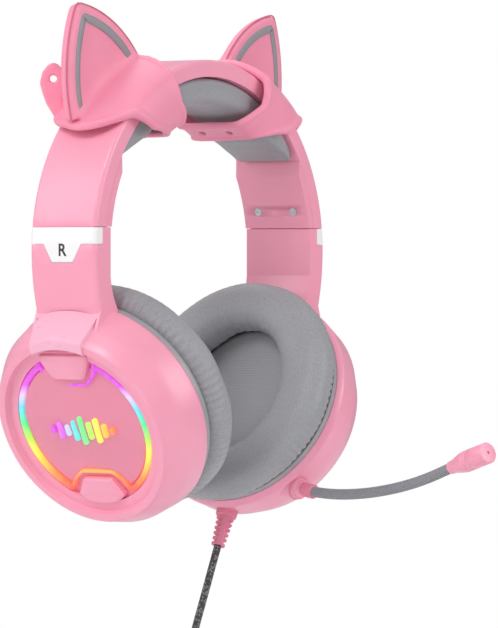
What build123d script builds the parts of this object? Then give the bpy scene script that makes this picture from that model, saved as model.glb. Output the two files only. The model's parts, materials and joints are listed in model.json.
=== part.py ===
from build123d import *
import math
import os

# Over-ear gaming headset with soft cat ears, in millimetres.
# +X is the wearer's left, -Y is forwards, +Z is up.
# The origin is where the crown of the head meets the headband cushion.

# ---- headband -------------------------------------------------------------
band_radius = 90.0          # outer face of the band, about its centre
band_width = 38.0
band_depth = 8.0            # radial depth of the band's channel
cushion_thickness = 14.0
band_skin = 2.4
band_edge = 2.0             # rounding of the outer edges
band_end_angle = 83.0       # from the crown down to the slider joint
cushion_angle = 57.0
cushion_flat_angle = 40.0     # where it starts to thin towards its ends
cushion_width = 35.0
cushion_round = 5.0
liner_thickness = 1.4
spring_thickness = 1.0
spring_width = 16.0
liner_angle = 60.0
seat_gap = 0.15             # between pieces of one body that lie on each other
motion_gap = 0.4            # between bodies that move past each other
overshoot = 1.0             # how far cuts run past the faces that they open

# ---- slider housings at the ends of the band ---------------------------------
housing_depth = 12.0        # radial depth of the band where the sliders run
housing_angle = 62.5        # where it has its full depth
housing_lead_angle = 58.0
housing_wall = 1.5
screw_head_radius = 2.0
screw_head_height = 1.0
screw_shank_radius = 1.1
screw_shank_length = 4.0
housing_screw_spacing = 21.0
housing_screw_angle = 76.0

# ---- sliders ----------------------------------------------------------------
slider_travel = 20.0
strip_width = 14.0
strip_thickness = 1.0
strip_lap = 1.0             # of the strip left in its housing at full travel
strip_root = 16.0           # how far it is buried in the arm
notch_count = 5
notch_pitch = 6.0
notch_radius = 0.8

# ---- arms --------------------------------------------------------------------
arm_radius = 101.0          # outer face of the arm, seen from the front
arm_flare_drop = 29.0       # below the band's centre, where the arm starts to flare
arm_knee_drop = 12.0        # and where its inner face starts to curve towards the rim
arm_bend_drop = 20.0        # the middle of that curve
arm_bend_inset = 1.8
plate_height = 7.6
plate_thickness = 0.9
plate_tab_depth = 8.5
plate_tab_width = 22.0
plate_tab_tip = 12.0
joint_gap = 0.3             # shut line between band and arm
plate_wrap = 6.0            # how far the plate reaches round the arm's edges
cover_thickness = 1.2
cover_top_width = 35.0
cover_bottom_width = 30.0
cover_height = 21.0
cover_arch = 3.6
cover_foot_up = 38.6        # the cover's foot above the cup's axis, at the face's rim

# ---- cups ----------------------------------------------------------------------
cup_tilt = 24.8             # each cup's axis points outwards and down by this angle
cup_x = 51.8                # centre of the rim
cup_z = -140.5
rim_radius = 52.0
shell_radius = 54.0
shoulder_radius = 52.3
shoulder_depth = 16.0
face_rim_radius = 46.0
face_rim_depth = 27.0
recess_radius = 42.0
recess_depth = 3.0
shell_wall = 2.2
ring_inner = 33.8
ring_outer = 37.4
ring_height = 2.2
panel_height = 2.4
board_thickness = 1.6
board_inner = 22.0
board_gap = 1.2
badge_width = 23.0
badge_height = 10.0
badge_thickness = 1.6
badge_offset = 34.2
tab_width = 19.0
tab_height = 6.5
lip_height = 3.0
lip_width = 3.4
baffle_thickness = 2.0
pad_radius = 56.0
pad_depth = 19.0
pad_opening_high = 33.0
pad_opening_wide = 30.0
pad_round = 8.0
cloth_thickness = 0.6
driver_radius = 20.0
driver_depth = 6.0
magnet_radius = 13.0
magnet_depth = 5.0
cone_depth = 1.6
cup_screw_radius = 1.4
cup_screw_ring = 45.5
cup_screw_count = 4

# ---- controls on the left cup -----------------------------------------------------
wheel_radius = 8.0
wheel_thickness = 2.6
wheel_proud = 2.2           # how far the wheel stands out of the shell
wheel_axle_radius = 1.2
wheel_groove_count = 24
wheel_groove_radius = 0.35
wheel_angle = -50.0         # round the cup from its lowest point, towards the back
button_angle = -72.0
button_radius = 2.6
button_length = 5.0
button_travel = 0.8
button_reserve = 0.6        # of the button still standing out when pressed
control_depth = 8.0         # of the controls' centres below the rim plane
running_gap = 0.05
board_width = 16.0
board_length = 16.0
board_inset = 6.6           # from the wheel's axle to the board's middle

# ---- ears on their sleeves -----------------------------------------------------------
sleeve_start = 20.0
sleeve_end = 54.0           # of its crown
shoulder_end = 46.5         # the lower rim slopes back from the crown to the strap
bulge_end = 42.5
strap_end = 32.0
sleeve_wall = 2.4
sleeve_rise = 7.0           # of the sleeve's crown above the band
shoulder_rise = 0.7         # of its shoulders
shoulder_spread = 4.5       # of its shoulders beside the band
bulge_spread = 6.5          # of its widest place beside the band
strap_gap = 3.1             # between the cushion and the strap below it
strap_inset = 2.0           # of the strap's corners from the band's edges
strap_hole_radius = 2.0
strap_hole_spacing = 16.0
strap_hole_angle = 26.0
sleeve_root_angle = 33.0    # of the middle of the ear's root
ear_thickness = 7.0
ear_height = 47.3           # of the tip above the band
ear_tip_angle = 33.9        # of the tip, down from the crown
ear_inner_rise = 6.0        # of the two base corners above the band
ear_inner_angle = 20.4
ear_outer_rise = 9.4
ear_outer_angle = 53.6
ear_bow_inner = 5.5
ear_bow_outer = 3.0
ear_dish = 1.6
ear_margin = 5.5
stripe_width = 3.0
stripe_thickness = 0.8
pull_thickness = 2.2
pull_hole_radius = 1.8
pull_hole_height = 11.0
pull_foot_width = 7.0
pull_foot_depth = 10.0
pull_foot_lean = 6.0        # of the foot towards the ear
pull_width = 13.0
pull_waist_height = 10.0
pull_shoulder_height = 16.0
pull_height = 19.0
pull_rise = 8.3             # of the tab's foot above the band
pull_back = 21.0            # and behind its middle
pull_angle = 45.5

# ---- microphone ----------------------------------------------------------------------
boom_radius = 2.5
boom_ball_gap = 0.1
boom_root = (43.0, -40.7, -181.4)
boom_knee = (37.2, -80.0, -182.0)
boom_elbow = (31.4, -114.0, -175.6)
boom_tip = (27.0, -136.2, -168.4)
boom_sag_one = (40.4, -60.0, -183.2)
boom_sag_two = (34.4, -97.5, -179.8)
boom_sag_three = (29.3, -125.1, -172.4)
mic_end = (22.0, -160.4, -160.6)
mic_radius = 5.0
mic_neck_radius = 3.1
mic_neck_length = 2.0
mic_taper_length = 8.0
mic_wall = 1.0
capsule_radius = 3.6
capsule_height = 3.0
socket_radius = 4.4
socket_collar_radius = 5.2
socket_collar = 2.4
socket_length = 12.0
socket_nose = 4.3           # from the collar's seat to the boom's ball
boss_radius = 6.4

# ---- cable ------------------------------------------------------------------------------
cable_diameter = 3.6
relief_depth = 10.0         # of the strain relief's axis below the rim plane
relief_y = 1.4
relief_length = 18.0
relief_root_radius = 4.5
relief_tip_radius = 3.3
relief_collar_radius = 5.2
relief_collar_length = 3.0
relief_collar_gap = 0.3
relief_rib_count = 6
coil_turn_radius = 21.6
coil_section_depth = 11.0
coil_section_width = 18.4
coil_side = 15.0            # from the cable's end to the coil's centre, sideways
coil_drop = 20.0            # and downwards
tie_width = 9.0
tie_thickness = 1.4
tail_diameter = 2.6
splitter_width = 12.0
splitter_depth = 7.0
splitter_length = 14.0
plug_radius = 4.2
plug_length = 20.0
jack_radius = 1.75
jack_length = 14.0
usb_shell_width = 12.0
usb_shell_height = 4.5
usb_shell_length = 14.0
usb_shell_wall = 0.4
usb_body_width = 15.0
usb_body_height = 8.0
usb_body_length = 22.0

# ---- places worked out from the sizes above ---------------------------------------------------
head_radius = band_radius - band_depth - cushion_thickness
strip_rise = slider_travel + strip_lap
button_proud = button_travel + button_reserve
sleeve_crown = band_radius + sleeve_rise
sleeve_shoulder = band_radius + shoulder_rise
sleeve_half_width = band_width / 2 + shoulder_spread
sleeve_bulge = band_width / 2 + bulge_spread
strap_radius = head_radius - strap_gap - sleeve_wall
strap_half_width = band_width / 2 - strap_inset
sleeve_bulge_radius = (sleeve_shoulder + strap_radius) / 2
band_centre_z = -head_radius
band_axis = Axis((0, 0, band_centre_z), (0, 1, 0))
tilt = math.radians(cup_tilt)
cup_out = Vector(math.cos(tilt), 0, -math.sin(tilt))
cup_up = Vector(math.sin(tilt), 0, math.cos(tilt))
cup_frame = Plane(origin=(cup_x, 0, cup_z), x_dir=(0, 1, 0), z_dir=cup_out)
joint_z = band_centre_z + band_radius * math.cos(math.radians(band_end_angle))
arm_centre_x = band_radius - arm_radius
strip_x = band_radius - housing_depth + housing_wall + motion_gap + strip_thickness / 2


def at_band(radius, angle, y=0.0):
    """A point of the band, by its radius and its angle down from the crown."""
    turn = math.radians(angle)
    return Vector(radius * math.sin(turn), y, band_centre_z + radius * math.cos(turn))


def at_cup(depth, up=0.0, back=0.0):
    """A point of the left cup, by its depth outwards, its height and its place to the back."""
    return Vector(cup_x, 0, cup_z) + cup_out * depth + cup_up * up + Vector(0, back, 0)


def front_face(edges):
    """The face that a closed outline in the plane y = 0 bounds."""
    return make_face(Wire(edges))


def across(face, width):
    """A solid as wide as given, with its middle on the plane y = 0."""
    half = extrude(face, amount=width / 2, dir=(0, 1, 0))
    other = extrude(face, amount=width / 2, dir=(0, -1, 0))
    return half + other


def band_sector(inner, outer, first, last, width):
    """Part of a ring about the band's centre, between two angles from the crown."""
    middle = (first + last) / 2
    outline = [
        ThreePointArc(at_band(outer, first), at_band(outer, middle), at_band(outer, last)),
        Line(at_band(outer, last), at_band(inner, last)),
        ThreePointArc(at_band(inner, last), at_band(inner, middle), at_band(inner, first)),
        Line(at_band(inner, first), at_band(outer, first)),
    ]
    return across(front_face(outline), width)


def turned(profile, frame=cup_frame):
    """A solid of revolution about a frame's axis, from (radius, depth) corners."""
    face = make_face(Polyline(*[(r, 0, d) for r, d in profile], close=True))
    return frame.location * revolve(face, Axis.Z)


def above_joint(solid):
    """A solid cut off level at the slider joint."""
    below = Box(4 * band_radius, 4 * band_radius, band_radius, align=(Align.CENTER, Align.CENTER, Align.MAX))
    return solid - Pos(0, 0, joint_z) * below


def disc(radius, first, last, frame=cup_frame):
    """A round plate between two depths."""
    return turned([(0, first), (radius, first), (radius, last), (0, last)], frame)


def washer(inner, outer, first, last, frame=cup_frame):
    """A ring between two radii and two depths."""
    return turned([(inner, first), (outer, first), (outer, last), (inner, last)], frame)


def rod(start, end, radius):
    """A round bar between two points."""
    way = Vector(*end) - Vector(*start)
    frame = Plane(origin=Vector(*start), z_dir=way)
    return extrude(frame * Circle(radius), amount=way.length)


def at_right(solid):
    """The same piece on the wearer's right."""
    return mirror(solid, about=Plane.YZ)


# ---- headband ---------------------------------------------------------------------------


def make_band_shell():
    outer = band_sector(band_radius - band_depth, band_radius, -90, 90, band_width)
    rims = outer.edges().filter_by(
        lambda e: e.geom_type == GeomType.CIRCLE and abs(e.radius - band_radius) < seat_gap
    )
    outer = fillet(rims, band_edge)
    hollow = band_sector(
        band_radius - 2 * band_depth,
        band_radius - band_skin,
        -90 - overshoot,
        90 + overshoot,
        band_width - 2 * band_skin,
    )
    return above_joint(outer - hollow)


def make_band_liner():
    inner = band_radius - band_depth
    width = band_width - 2 * band_skin - 2 * seat_gap
    return band_sector(inner, inner + liner_thickness, -liner_angle, liner_angle, width)


def make_band_spring():
    inner = band_radius - band_depth + liner_thickness + seat_gap
    return band_sector(inner, inner + spring_thickness, -liner_angle, liner_angle, spring_width)


def make_band_cushion():
    top = band_radius - band_depth - seat_gap
    outline = [
        ThreePointArc(at_band(top, -cushion_angle), at_band(top, 0), at_band(top, cushion_angle)),
        Line(at_band(top, cushion_angle), at_band(head_radius, cushion_flat_angle)),
        ThreePointArc(
            at_band(head_radius, cushion_flat_angle),
            at_band(head_radius, 0),
            at_band(head_radius, -cushion_flat_angle),
        ),
        Line(at_band(head_radius, -cushion_flat_angle), at_band(top, -cushion_angle)),
    ]
    body = across(front_face(outline), cushion_width)
    rims = body.edges().filter_by(
        lambda e: e.geom_type == GeomType.CIRCLE and abs(e.radius - head_radius) < seat_gap
    )
    return fillet(rims, cushion_round)


def make_slider_housing():
    outer = band_radius - band_depth - seat_gap
    inner = band_radius - housing_depth
    middle = (housing_angle + 90) / 2
    outline = [
        ThreePointArc(at_band(outer, housing_lead_angle), at_band(outer, middle), at_band(outer, 90)),
        Line(at_band(outer, 90), at_band(inner, 90)),
        ThreePointArc(at_band(inner, 90), at_band(inner, middle), at_band(inner, housing_angle)),
        Line(at_band(inner, housing_angle), at_band(outer, housing_lead_angle)),
    ]
    body = across(front_face(outline), band_width)
    hollow = band_sector(
        inner + housing_wall,
        outer + overshoot,
        housing_angle + housing_wall,
        90 + overshoot,
        strip_width + 4 * motion_gap,
    )
    body = above_joint(body - hollow)
    for frame in screw_frames():
        body -= turned(
            [
                (0, -screw_head_height - seat_gap),
                (screw_head_radius + seat_gap, -screw_head_height - seat_gap),
                (screw_head_radius + seat_gap, 1),
                (0, 1),
            ],
            frame,
        )
        body -= disc(screw_shank_radius + seat_gap, -screw_shank_length, 0, frame)
    return body


def screw_frames():
    """Frames of the two screws in the left slider housing, facing the head."""
    place = at_band(band_radius - housing_depth, housing_screw_angle)
    inwards = (at_band(0, 0) - place).normalized()
    frames = []
    for side in (-1, 1):
        spot = place + Vector(0, side * housing_screw_spacing / 2, 0)
        frames.append(Plane(origin=spot, x_dir=(0, 1, 0), z_dir=inwards))
    return frames


def make_housing_screws():
    screws = []
    for frame in screw_frames():
        head = disc(screw_head_radius, -screw_head_height, 0, frame)
        slot = extrude(frame * Rectangle(screw_head_radius * 1.3, 0.5), amount=-0.4)
        shank = disc(screw_shank_radius, -screw_shank_length + seat_gap, -screw_head_height, frame)
        screws.append(head + shank - slot)
    return Compound(children=screws + [at_right(s) for s in screws])


# ---- arms and cup shells ---------------------------------------------------------------


def arm_outer(z, inset=0.0):
    """The arm's outer face at a height, moved inwards by an inset."""
    radius = arm_radius - inset
    return Vector(arm_centre_x + math.sqrt(radius**2 - (z - band_centre_z) ** 2), 0, z)


def arm_inner_x():
    """How far from the middle the arm's inner face stands."""
    return band_radius - housing_depth


def arm_outline(inset, top):
    """The arm's outline seen from the front, set in from its outer face by an inset."""
    flare_z = band_centre_z - arm_flare_drop
    middle_z = (top + flare_z) / 2
    face_edge = at_cup(face_rim_depth - inset, cover_foot_up - inset / 2)
    under_face = at_cup(face_rim_depth - inset, cover_foot_up - recess_radius / 3)
    seat = at_cup(shoulder_depth / 2, 0)
    rim = at_cup(0, rim_radius - 2)
    bend = Vector(arm_inner_x() - arm_bend_inset, 0, band_centre_z - arm_bend_drop)
    knee = Vector(arm_inner_x(), 0, band_centre_z - arm_knee_drop)
    corner = Vector(arm_inner_x(), 0, top)
    return [
        ThreePointArc(arm_outer(top, inset), arm_outer(middle_z, inset), arm_outer(flare_z, inset)),
        Line(arm_outer(flare_z, inset), face_edge),
        Line(face_edge, under_face),
        Line(under_face, seat),
        Line(seat, rim),
        ThreePointArc(rim, bend, knee),
        Line(knee, corner),
        Line(corner, arm_outer(top, inset)),
    ]


def cup_outside():
    """The cup's whole outer form, filled."""
    return turned(
        [
            (0, 0),
            (rim_radius, 0),
            (shell_radius, 3),
            (shoulder_radius, shoulder_depth),
            (face_rim_radius + 1, face_rim_depth - 1),
            (face_rim_radius, face_rim_depth),
            (0, face_rim_depth),
        ]
    )


def cup_hollow():
    """The room inside the cup, open at the rim."""
    floor = face_rim_depth - recess_depth - panel_height - shell_wall
    return turned(
        [
            (0, -1),
            (rim_radius - shell_wall, -1),
            (rim_radius - shell_wall, 0),
            (shell_radius - shell_wall, 3.5),
            (shoulder_radius - shell_wall, shoulder_depth - 1),
            (recess_radius - shell_wall / 2, floor),
            (0, floor),
        ]
    )


def face_recess():
    """The dished face: a shallow recess with a deeper seat for the panel and the ring."""
    face = face_rim_depth - recess_depth
    seat = face - panel_height
    return turned(
        [
            (0, seat),
            (ring_outer + seat_gap, seat),
            (ring_outer + seat_gap, face),
            (recess_radius, face),
            (recess_radius + 1, face_rim_depth + 1),
            (0, face_rim_depth + 1),
        ]
    )


def make_arm(inset, width):
    """The arm as a solid bar, set in from its outer face and cut to a width."""
    body = across(front_face(arm_outline(inset, joint_z - joint_gap)), width)
    rims = body.edges().filter_by(
        lambda e: e.geom_type == GeomType.CIRCLE and abs(e.radius - arm_radius + inset) < running_gap
    )
    return fillet(rims, band_edge)


def arm_skin(depth):
    """The outermost layer of the arm, on its outer face and both edges."""
    return make_arm(0, band_width) - make_arm(depth, band_width - 2 * depth)


def plate_column(grow):
    """The white plate's outline seen from the side, run through the arm's outer part."""
    top = joint_z - joint_gap + grow
    low = joint_z - joint_gap - plate_height - grow
    half = band_width / 2 + 1
    tab = plate_tab_width / 2 + grow
    tip = plate_tab_tip / 2 + grow
    corners = [
        (-half, top),
        (half, top),
        (half, low),
        (tab, low),
        (tip, low - plate_tab_depth),
        (-tip, low - plate_tab_depth),
        (-tab, low),
        (-half, low),
    ]
    start_x = band_radius - plate_wrap
    face = make_face(Polyline(*[(start_x, y, z) for y, z in corners], close=True))
    return extrude(face, amount=band_radius, dir=(1, 0, 0))


def make_side_plate():
    return arm_skin(plate_thickness) & plate_column(0)


def cover_column(grow):
    """The cover's outline seen from the side, with its arched top."""
    base = at_cup(face_rim_depth, cover_foot_up).Z - grow
    shoulder = base + cover_height + 2 * grow - cover_arch
    half_top = cover_top_width / 2 + grow
    half_low = cover_bottom_width / 2 + grow
    outline = Wire(
        [
            Line((0, -half_low, base), (0, -half_top, shoulder)),
            ThreePointArc((0, -half_top, shoulder), (0, 0, shoulder + cover_arch), (0, half_top, shoulder)),
            Line((0, half_top, shoulder), (0, half_low, base)),
            Line((0, half_low, base), (0, -half_low, base)),
        ]
    )
    face = make_face(outline)
    return Pos(arm_inner_x(), 0, 0) * extrude(face, amount=band_radius, dir=(1, 0, 0))


def make_arm_cover():
    return arm_skin(cover_thickness) & cover_column(0)


def strip_slot():
    """The pocket in the arm that holds the slider's strip."""
    room = Box(strip_thickness + 2 * seat_gap, strip_width + 2 * seat_gap, strip_root + 1)
    return Pos(strip_x, 0, joint_z - strip_root / 2 + 0.5) * room


def make_slider_strip():
    height = strip_root + strip_rise
    middle = joint_z - strip_root + height / 2
    strip = Pos(strip_x, 0, middle) * Box(strip_thickness, strip_width, height)
    for step in range(notch_count):
        notch_z = joint_z - strip_root + notch_pitch * (step + 1)
        notch = Pos(strip_x, strip_width / 2, notch_z) * Rot(0, 90, 0) * Cylinder(notch_radius, 3)
        strip -= notch
    return strip


def make_cup_shell():
    arm = make_arm(0, band_width)
    arm -= arm_skin(plate_thickness + seat_gap) & plate_column(seat_gap)
    body = arm + cup_outside()
    body -= arm_skin(cover_thickness + seat_gap) & cover_column(seat_gap)
    body -= strip_slot()
    body -= face_recess()
    body -= cup_hollow()
    return body


def make_left_cup_shell():
    """The left shell also holds the microphone, the cable's exit and the controls."""
    way = boom_frame()
    boss_top = -socket_nose - seat_gap
    boss = turned([(0, -18), (boss_radius, -18), (boss_radius - 0.6, boss_top), (0, boss_top)], way)
    body = make_cup_shell() + (boss - cup_outside())
    body -= disc(socket_radius + seat_gap, -20, 0, way)
    body -= disc(socket_collar_radius + seat_gap, boss_top, 2, way)
    body -= disc(relief_root_radius + seat_gap, -4, 4, relief_frame())
    body -= disc(relief_collar_radius + seat_gap, relief_collar_gap - seat_gap, 5, relief_frame())
    body -= wheel_slot()
    body -= button_hole()
    return body


# ---- what a cup holds ------------------------------------------------------------------


def make_face_panel():
    seat = face_rim_depth - recess_depth - panel_height + seat_gap
    top = face_rim_depth - recess_depth
    edge = ring_inner - seat_gap
    return turned([(0, seat), (edge, seat), (edge, top - 0.4), (edge - 8, top), (0, top + 0.5)])


def make_light_ring():
    seat = face_rim_depth - recess_depth - panel_height + seat_gap
    return washer(ring_inner, ring_outer, seat, seat + ring_height)


def make_light_board():
    floor = face_rim_depth - recess_depth - panel_height - shell_wall
    return washer(board_inner, ring_outer - 1, floor - board_gap - board_thickness, floor - board_gap) + led_row()


def led_row():
    """The small lamps round the light board, under the ring."""
    floor = face_rim_depth - recess_depth - panel_height - shell_wall
    lamp = Pos((ring_inner + ring_outer) / 2, 0, floor - board_gap + 0.5) * Box(2.2, 2.2, board_gap - seat_gap)
    lamps = Part() + [Rot(0, 0, 30 * k) * lamp for k in range(12)]
    return cup_frame.location * lamps


def make_face_badges():
    top = face_rim_depth - recess_depth + seat_gap
    low = cup_frame.offset(top) * Pos(0, -badge_offset) * Trapezoid(badge_width, badge_height, 75, rotation=180)
    high = cup_frame.offset(top) * Pos(0, badge_offset + 1) * Trapezoid(tab_width, tab_height, 75)
    rim = cup_frame.location * extrude(Circle(recess_radius - 0.4), amount=2 * face_rim_depth)
    body = extrude(low, amount=badge_thickness)
    tab = extrude(high, amount=badge_thickness * 0.7)
    return Compound(children=[body & rim, tab & rim])


def make_lip_ring():
    return washer(rim_radius - lip_width, rim_radius - seat_gap, -lip_height, -seat_gap)


def make_baffle():
    body = disc(rim_radius - lip_width - seat_gap, -baffle_thickness, -seat_gap)
    body -= disc(driver_radius - 2, -baffle_thickness - 1, 1)
    for frame in cup_screw_frames():
        body -= disc(cup_screw_radius + seat_gap, -baffle_thickness - 1, 1, frame)
    return body


def cup_screw_frames():
    """Frames of the screws that hold a baffle to its shell."""
    frames = []
    for step in range(cup_screw_count):
        turn = math.radians(45 + step * 360 / cup_screw_count)
        spot = at_cup(0, cup_screw_ring * math.cos(turn), cup_screw_ring * math.sin(turn))
        frames.append(Plane(origin=spot, x_dir=(0, 1, 0), z_dir=cup_out))
    return frames


def make_cup_screws():
    screws = []
    for frame in cup_screw_frames():
        head = disc(cup_screw_radius * 1.7, -baffle_thickness - 0.8, -baffle_thickness - seat_gap / 2, frame)
        shank = disc(cup_screw_radius, -baffle_thickness - seat_gap / 2, 4, frame)
        screws.append(head + shank)
    return Compound(children=screws)


def make_ear_pad():
    low = -lip_height - seat_gap - pad_depth
    high = -lip_height - seat_gap
    body = disc(pad_radius, low, high)
    opening = cup_frame.offset(low - 1) * Ellipse(pad_opening_wide, pad_opening_high)
    body = fillet(body.edges(), pad_round)
    return body - extrude(opening, amount=pad_depth + 2)


def make_speaker_cloth():
    low = -baffle_thickness - seat_gap - cloth_thickness
    return disc(min(pad_opening_high, pad_opening_wide) + 6, low, low + cloth_thickness)


def make_driver():
    frame_top = seat_gap
    basket = turned(
        [
            (0, frame_top + cone_depth),
            (driver_radius - 4, frame_top),
            (driver_radius, frame_top),
            (driver_radius, frame_top + 2),
            (magnet_radius + 2, frame_top + driver_depth),
            (0, frame_top + driver_depth),
        ]
    )
    return basket


def make_driver_magnet():
    top = 2 * seat_gap + driver_depth
    return disc(magnet_radius, top, top + magnet_depth)


# ---- controls ---------------------------------------------------------------------------


def rim_frame(angle, depth):
    """A frame on the shell's wall, by the angle from the cup's lowest point to the front."""
    turn = math.radians(angle)
    outwards = cup_up * -math.cos(turn) + Vector(0, -math.sin(turn), 0)
    wall = shell_radius - (depth - 3) * (shell_radius - shoulder_radius) / (shoulder_depth - 3)
    spot = at_cup(depth) + outwards * wall
    return Plane(origin=spot, x_dir=cup_out, z_dir=outwards)


def make_volume_wheel():
    frame = rim_frame(wheel_angle, control_depth)
    middle = frame.origin - frame.z_dir * (wheel_radius - wheel_proud)
    across_cup = Plane(origin=middle - cup_out * wheel_thickness / 2, x_dir=frame.z_dir, z_dir=cup_out)
    wheel = extrude(across_cup * Circle(wheel_radius), amount=wheel_thickness)
    for step in range(wheel_groove_count):
        turn = Rot(0, 0, step * 360 / wheel_groove_count)
        groove = across_cup * turn * Pos(wheel_radius, 0) * Circle(wheel_groove_radius)
        wheel -= extrude(groove, amount=wheel_thickness)
    bore = extrude(across_cup * Circle(wheel_axle_radius + running_gap), amount=wheel_thickness)
    return wheel - bore


def wheel_axis():
    """A point on the wheel's axle and the axle's direction."""
    frame = rim_frame(wheel_angle, control_depth)
    return frame.origin - frame.z_dir * (wheel_radius - wheel_proud), cup_out


def wheel_slot():
    """The opening in the shell that the wheel turns in."""
    middle, way = wheel_axis()
    half = wheel_thickness / 2 + motion_gap
    frame = Plane(origin=middle - way * half, x_dir=(0, 1, 0), z_dir=way)
    return extrude(frame * Circle(wheel_radius + motion_gap), amount=2 * half)


def make_control_board():
    middle, way = wheel_axis()
    frame = rim_frame(wheel_angle, control_depth)
    low = middle + way * (wheel_thickness / 2 + motion_gap)
    plane = Plane(origin=low, x_dir=frame.z_dir, z_dir=way)
    board = extrude(plane * Pos(-board_inset, 0) * Rectangle(board_width, board_length), amount=board_thickness)
    pin = rod(low, middle - way * (wheel_thickness / 2 + motion_gap), wheel_axle_radius)
    return board + pin


def make_mute_button():
    frame = rim_frame(button_angle, control_depth)
    start = frame.offset(button_proud)
    body = extrude(start * Circle(button_radius), amount=-button_length)
    return body


def button_hole():
    frame = rim_frame(button_angle, control_depth)
    start = frame.offset(button_proud + overshoot)
    depth = button_length + button_travel + 2 * overshoot
    return extrude(start * Circle(button_radius + motion_gap / 2), amount=-depth)


# ---- microphone --------------------------------------------------------------------------


def boom_frame():
    """Where the boom leaves its socket, and its direction."""
    return Plane(origin=Vector(*boom_root), z_dir=Vector(*boom_sag_one) - Vector(*boom_root))


def make_mic_socket():
    body = turned(
        [
            (0, -socket_length),
            (socket_radius, -socket_length),
            (socket_radius, -socket_nose),
            (socket_collar_radius, -socket_nose),
            (socket_collar_radius, socket_collar - socket_nose),
            (socket_radius, socket_collar - socket_nose),
            (socket_radius - 1.2, 0),
            (0, 0),
        ],
        boom_frame(),
    )
    return body - Pos(*boom_root) * Sphere(boom_radius + boom_ball_gap)


def make_boom(start, middle, end, last):
    """One stretch of the gooseneck, with a ball at its start and a cup at its end."""
    path = ThreePointArc(start, middle, end)
    tube = sweep(Plane(origin=path @ 0, z_dir=path % 0) * Circle(boom_radius), path=path)
    tube += Pos(*start) * Sphere(boom_radius)
    if not last:
        tube -= Pos(*end) * Sphere(boom_radius + boom_ball_gap)
    return tube


def mic_frame():
    """The microphone head's frame, along its own length."""
    way = Vector(*mic_end) - Vector(*boom_tip)
    return Plane(origin=Vector(*boom_tip), z_dir=way)


def mic_length():
    """The length of the microphone head."""
    return (Vector(*mic_end) - Vector(*boom_tip)).length


def make_mic_housing():
    length = mic_length()
    body = turned(
        [
            (0, seat_gap),
            (mic_neck_radius, seat_gap),
            (mic_neck_radius, mic_neck_length),
            (mic_radius, mic_neck_length + mic_taper_length),
            (mic_radius, length - 0.8),
            (mic_radius - 0.8, length),
            (0, length),
        ],
        mic_frame(),
    )
    room = disc(capsule_radius + seat_gap, length - 2 * capsule_height, length - mic_wall, mic_frame())
    port = disc(0.7, length - mic_wall - 1, length + 1, mic_frame())
    return body - room - port


def make_mic_capsule():
    length = mic_length()
    low = length - mic_wall - capsule_height - seat_gap
    return disc(capsule_radius, low, low + capsule_height, mic_frame())


# ---- ears --------------------------------------------------------------------------------


def sleeve_section(inset):
    """The sleeve's section in the plane x = 0, set in by an inset."""
    crown = band_centre_z + sleeve_crown - inset
    shoulder = band_centre_z + sleeve_shoulder - inset
    bulge = band_centre_z + sleeve_bulge_radius
    strap = band_centre_z + strap_radius + inset
    half = sleeve_half_width - inset
    side = sleeve_bulge - inset
    foot = strap_half_width - inset / 2
    outline = Wire(
        [
            ThreePointArc((0, -half, shoulder), (0, 0, crown), (0, half, shoulder)),
            ThreePointArc((0, half, shoulder), (0, side, bulge), (0, foot, strap)),
            Line((0, foot, strap), (0, -foot, strap)),
            ThreePointArc((0, -foot, strap), (0, -side, bulge), (0, -half, shoulder)),
        ]
    )
    return make_face(outline)


def ear_outline(shrink):
    """The ear seen from the front: two bowed edges over the sleeve."""
    tip = at_band(band_radius + ear_height, ear_tip_angle)
    inner = at_band(band_radius + ear_inner_rise, ear_inner_angle)
    outer = at_band(band_radius + ear_outer_rise, ear_outer_angle)
    centre = (tip + inner + outer) / 3
    tip += (centre - tip).normalized() * shrink * 1.7
    inner += (centre - inner).normalized() * shrink * 1.4
    outer += (centre - outer).normalized() * shrink * 1.4
    root = at_band(band_radius + sleeve_rise / 2, sleeve_root_angle)
    inner_way = (tip - inner).normalized()
    outer_way = (tip - outer).normalized()
    bow_inner = (tip + inner) / 2 + Vector(-inner_way.Z, 0, inner_way.X) * ear_bow_inner
    bow_outer = (tip + outer) / 2 + Vector(outer_way.Z, 0, -outer_way.X) * ear_bow_outer
    return [
        ThreePointArc(inner, bow_inner, tip),
        ThreePointArc(tip, bow_outer, outer),
        Line(outer, root),
        Line(root, inner),
    ]


def make_ear_saddle():
    start = Rot(0, sleeve_start, 0)
    sweep_angle = sleeve_end - sleeve_start
    outer = revolve(turn_section(0), band_axis, sweep_angle)
    inner = revolve(turn_section(sleeve_wall), band_axis, sweep_angle)
    body = outer - inner - below_lower_rim()
    for side in (-1, 1):
        place = at_band(strap_radius, strap_hole_angle, side * strap_hole_spacing / 2)
        way = (place - at_band(0, 0)).normalized()
        body -= rod(place - way * sleeve_wall, place + way * 2 * sleeve_wall, strap_hole_radius)
    ear = across(front_face(ear_outline(0)), ear_thickness)
    ear -= inner
    dish = extrude(front_face(ear_outline(ear_margin / 2)), amount=ear_thickness, dir=(0, -1, 0))
    dish = Pos(0, -ear_thickness / 2 + ear_dish, 0) * dish
    body += ear - (dish - sleeve_solid())
    return body + make_pull_tab()


def below_lower_rim():
    """What the sleeve leaves out below its sloping lower rim."""
    beyond = sleeve_end + 20
    outline = Polyline(
        at_band(sleeve_crown + sleeve_wall, sleeve_end + 2),
        at_band(sleeve_crown, sleeve_end),
        at_band(sleeve_shoulder, shoulder_end),
        at_band(sleeve_bulge_radius, bulge_end),
        at_band(strap_radius, strap_end),
        at_band(strap_radius - 2 * sleeve_wall, strap_end - 2),
        at_band(strap_radius - 2 * sleeve_wall, beyond),
        at_band(sleeve_crown + sleeve_wall, beyond),
        close=True,
    )
    return across(make_face(outline), 4 * sleeve_bulge)


def sleeve_solid():
    """The sleeve's outer form, filled."""
    return revolve(turn_section(0), band_axis, sleeve_end - sleeve_start)


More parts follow.
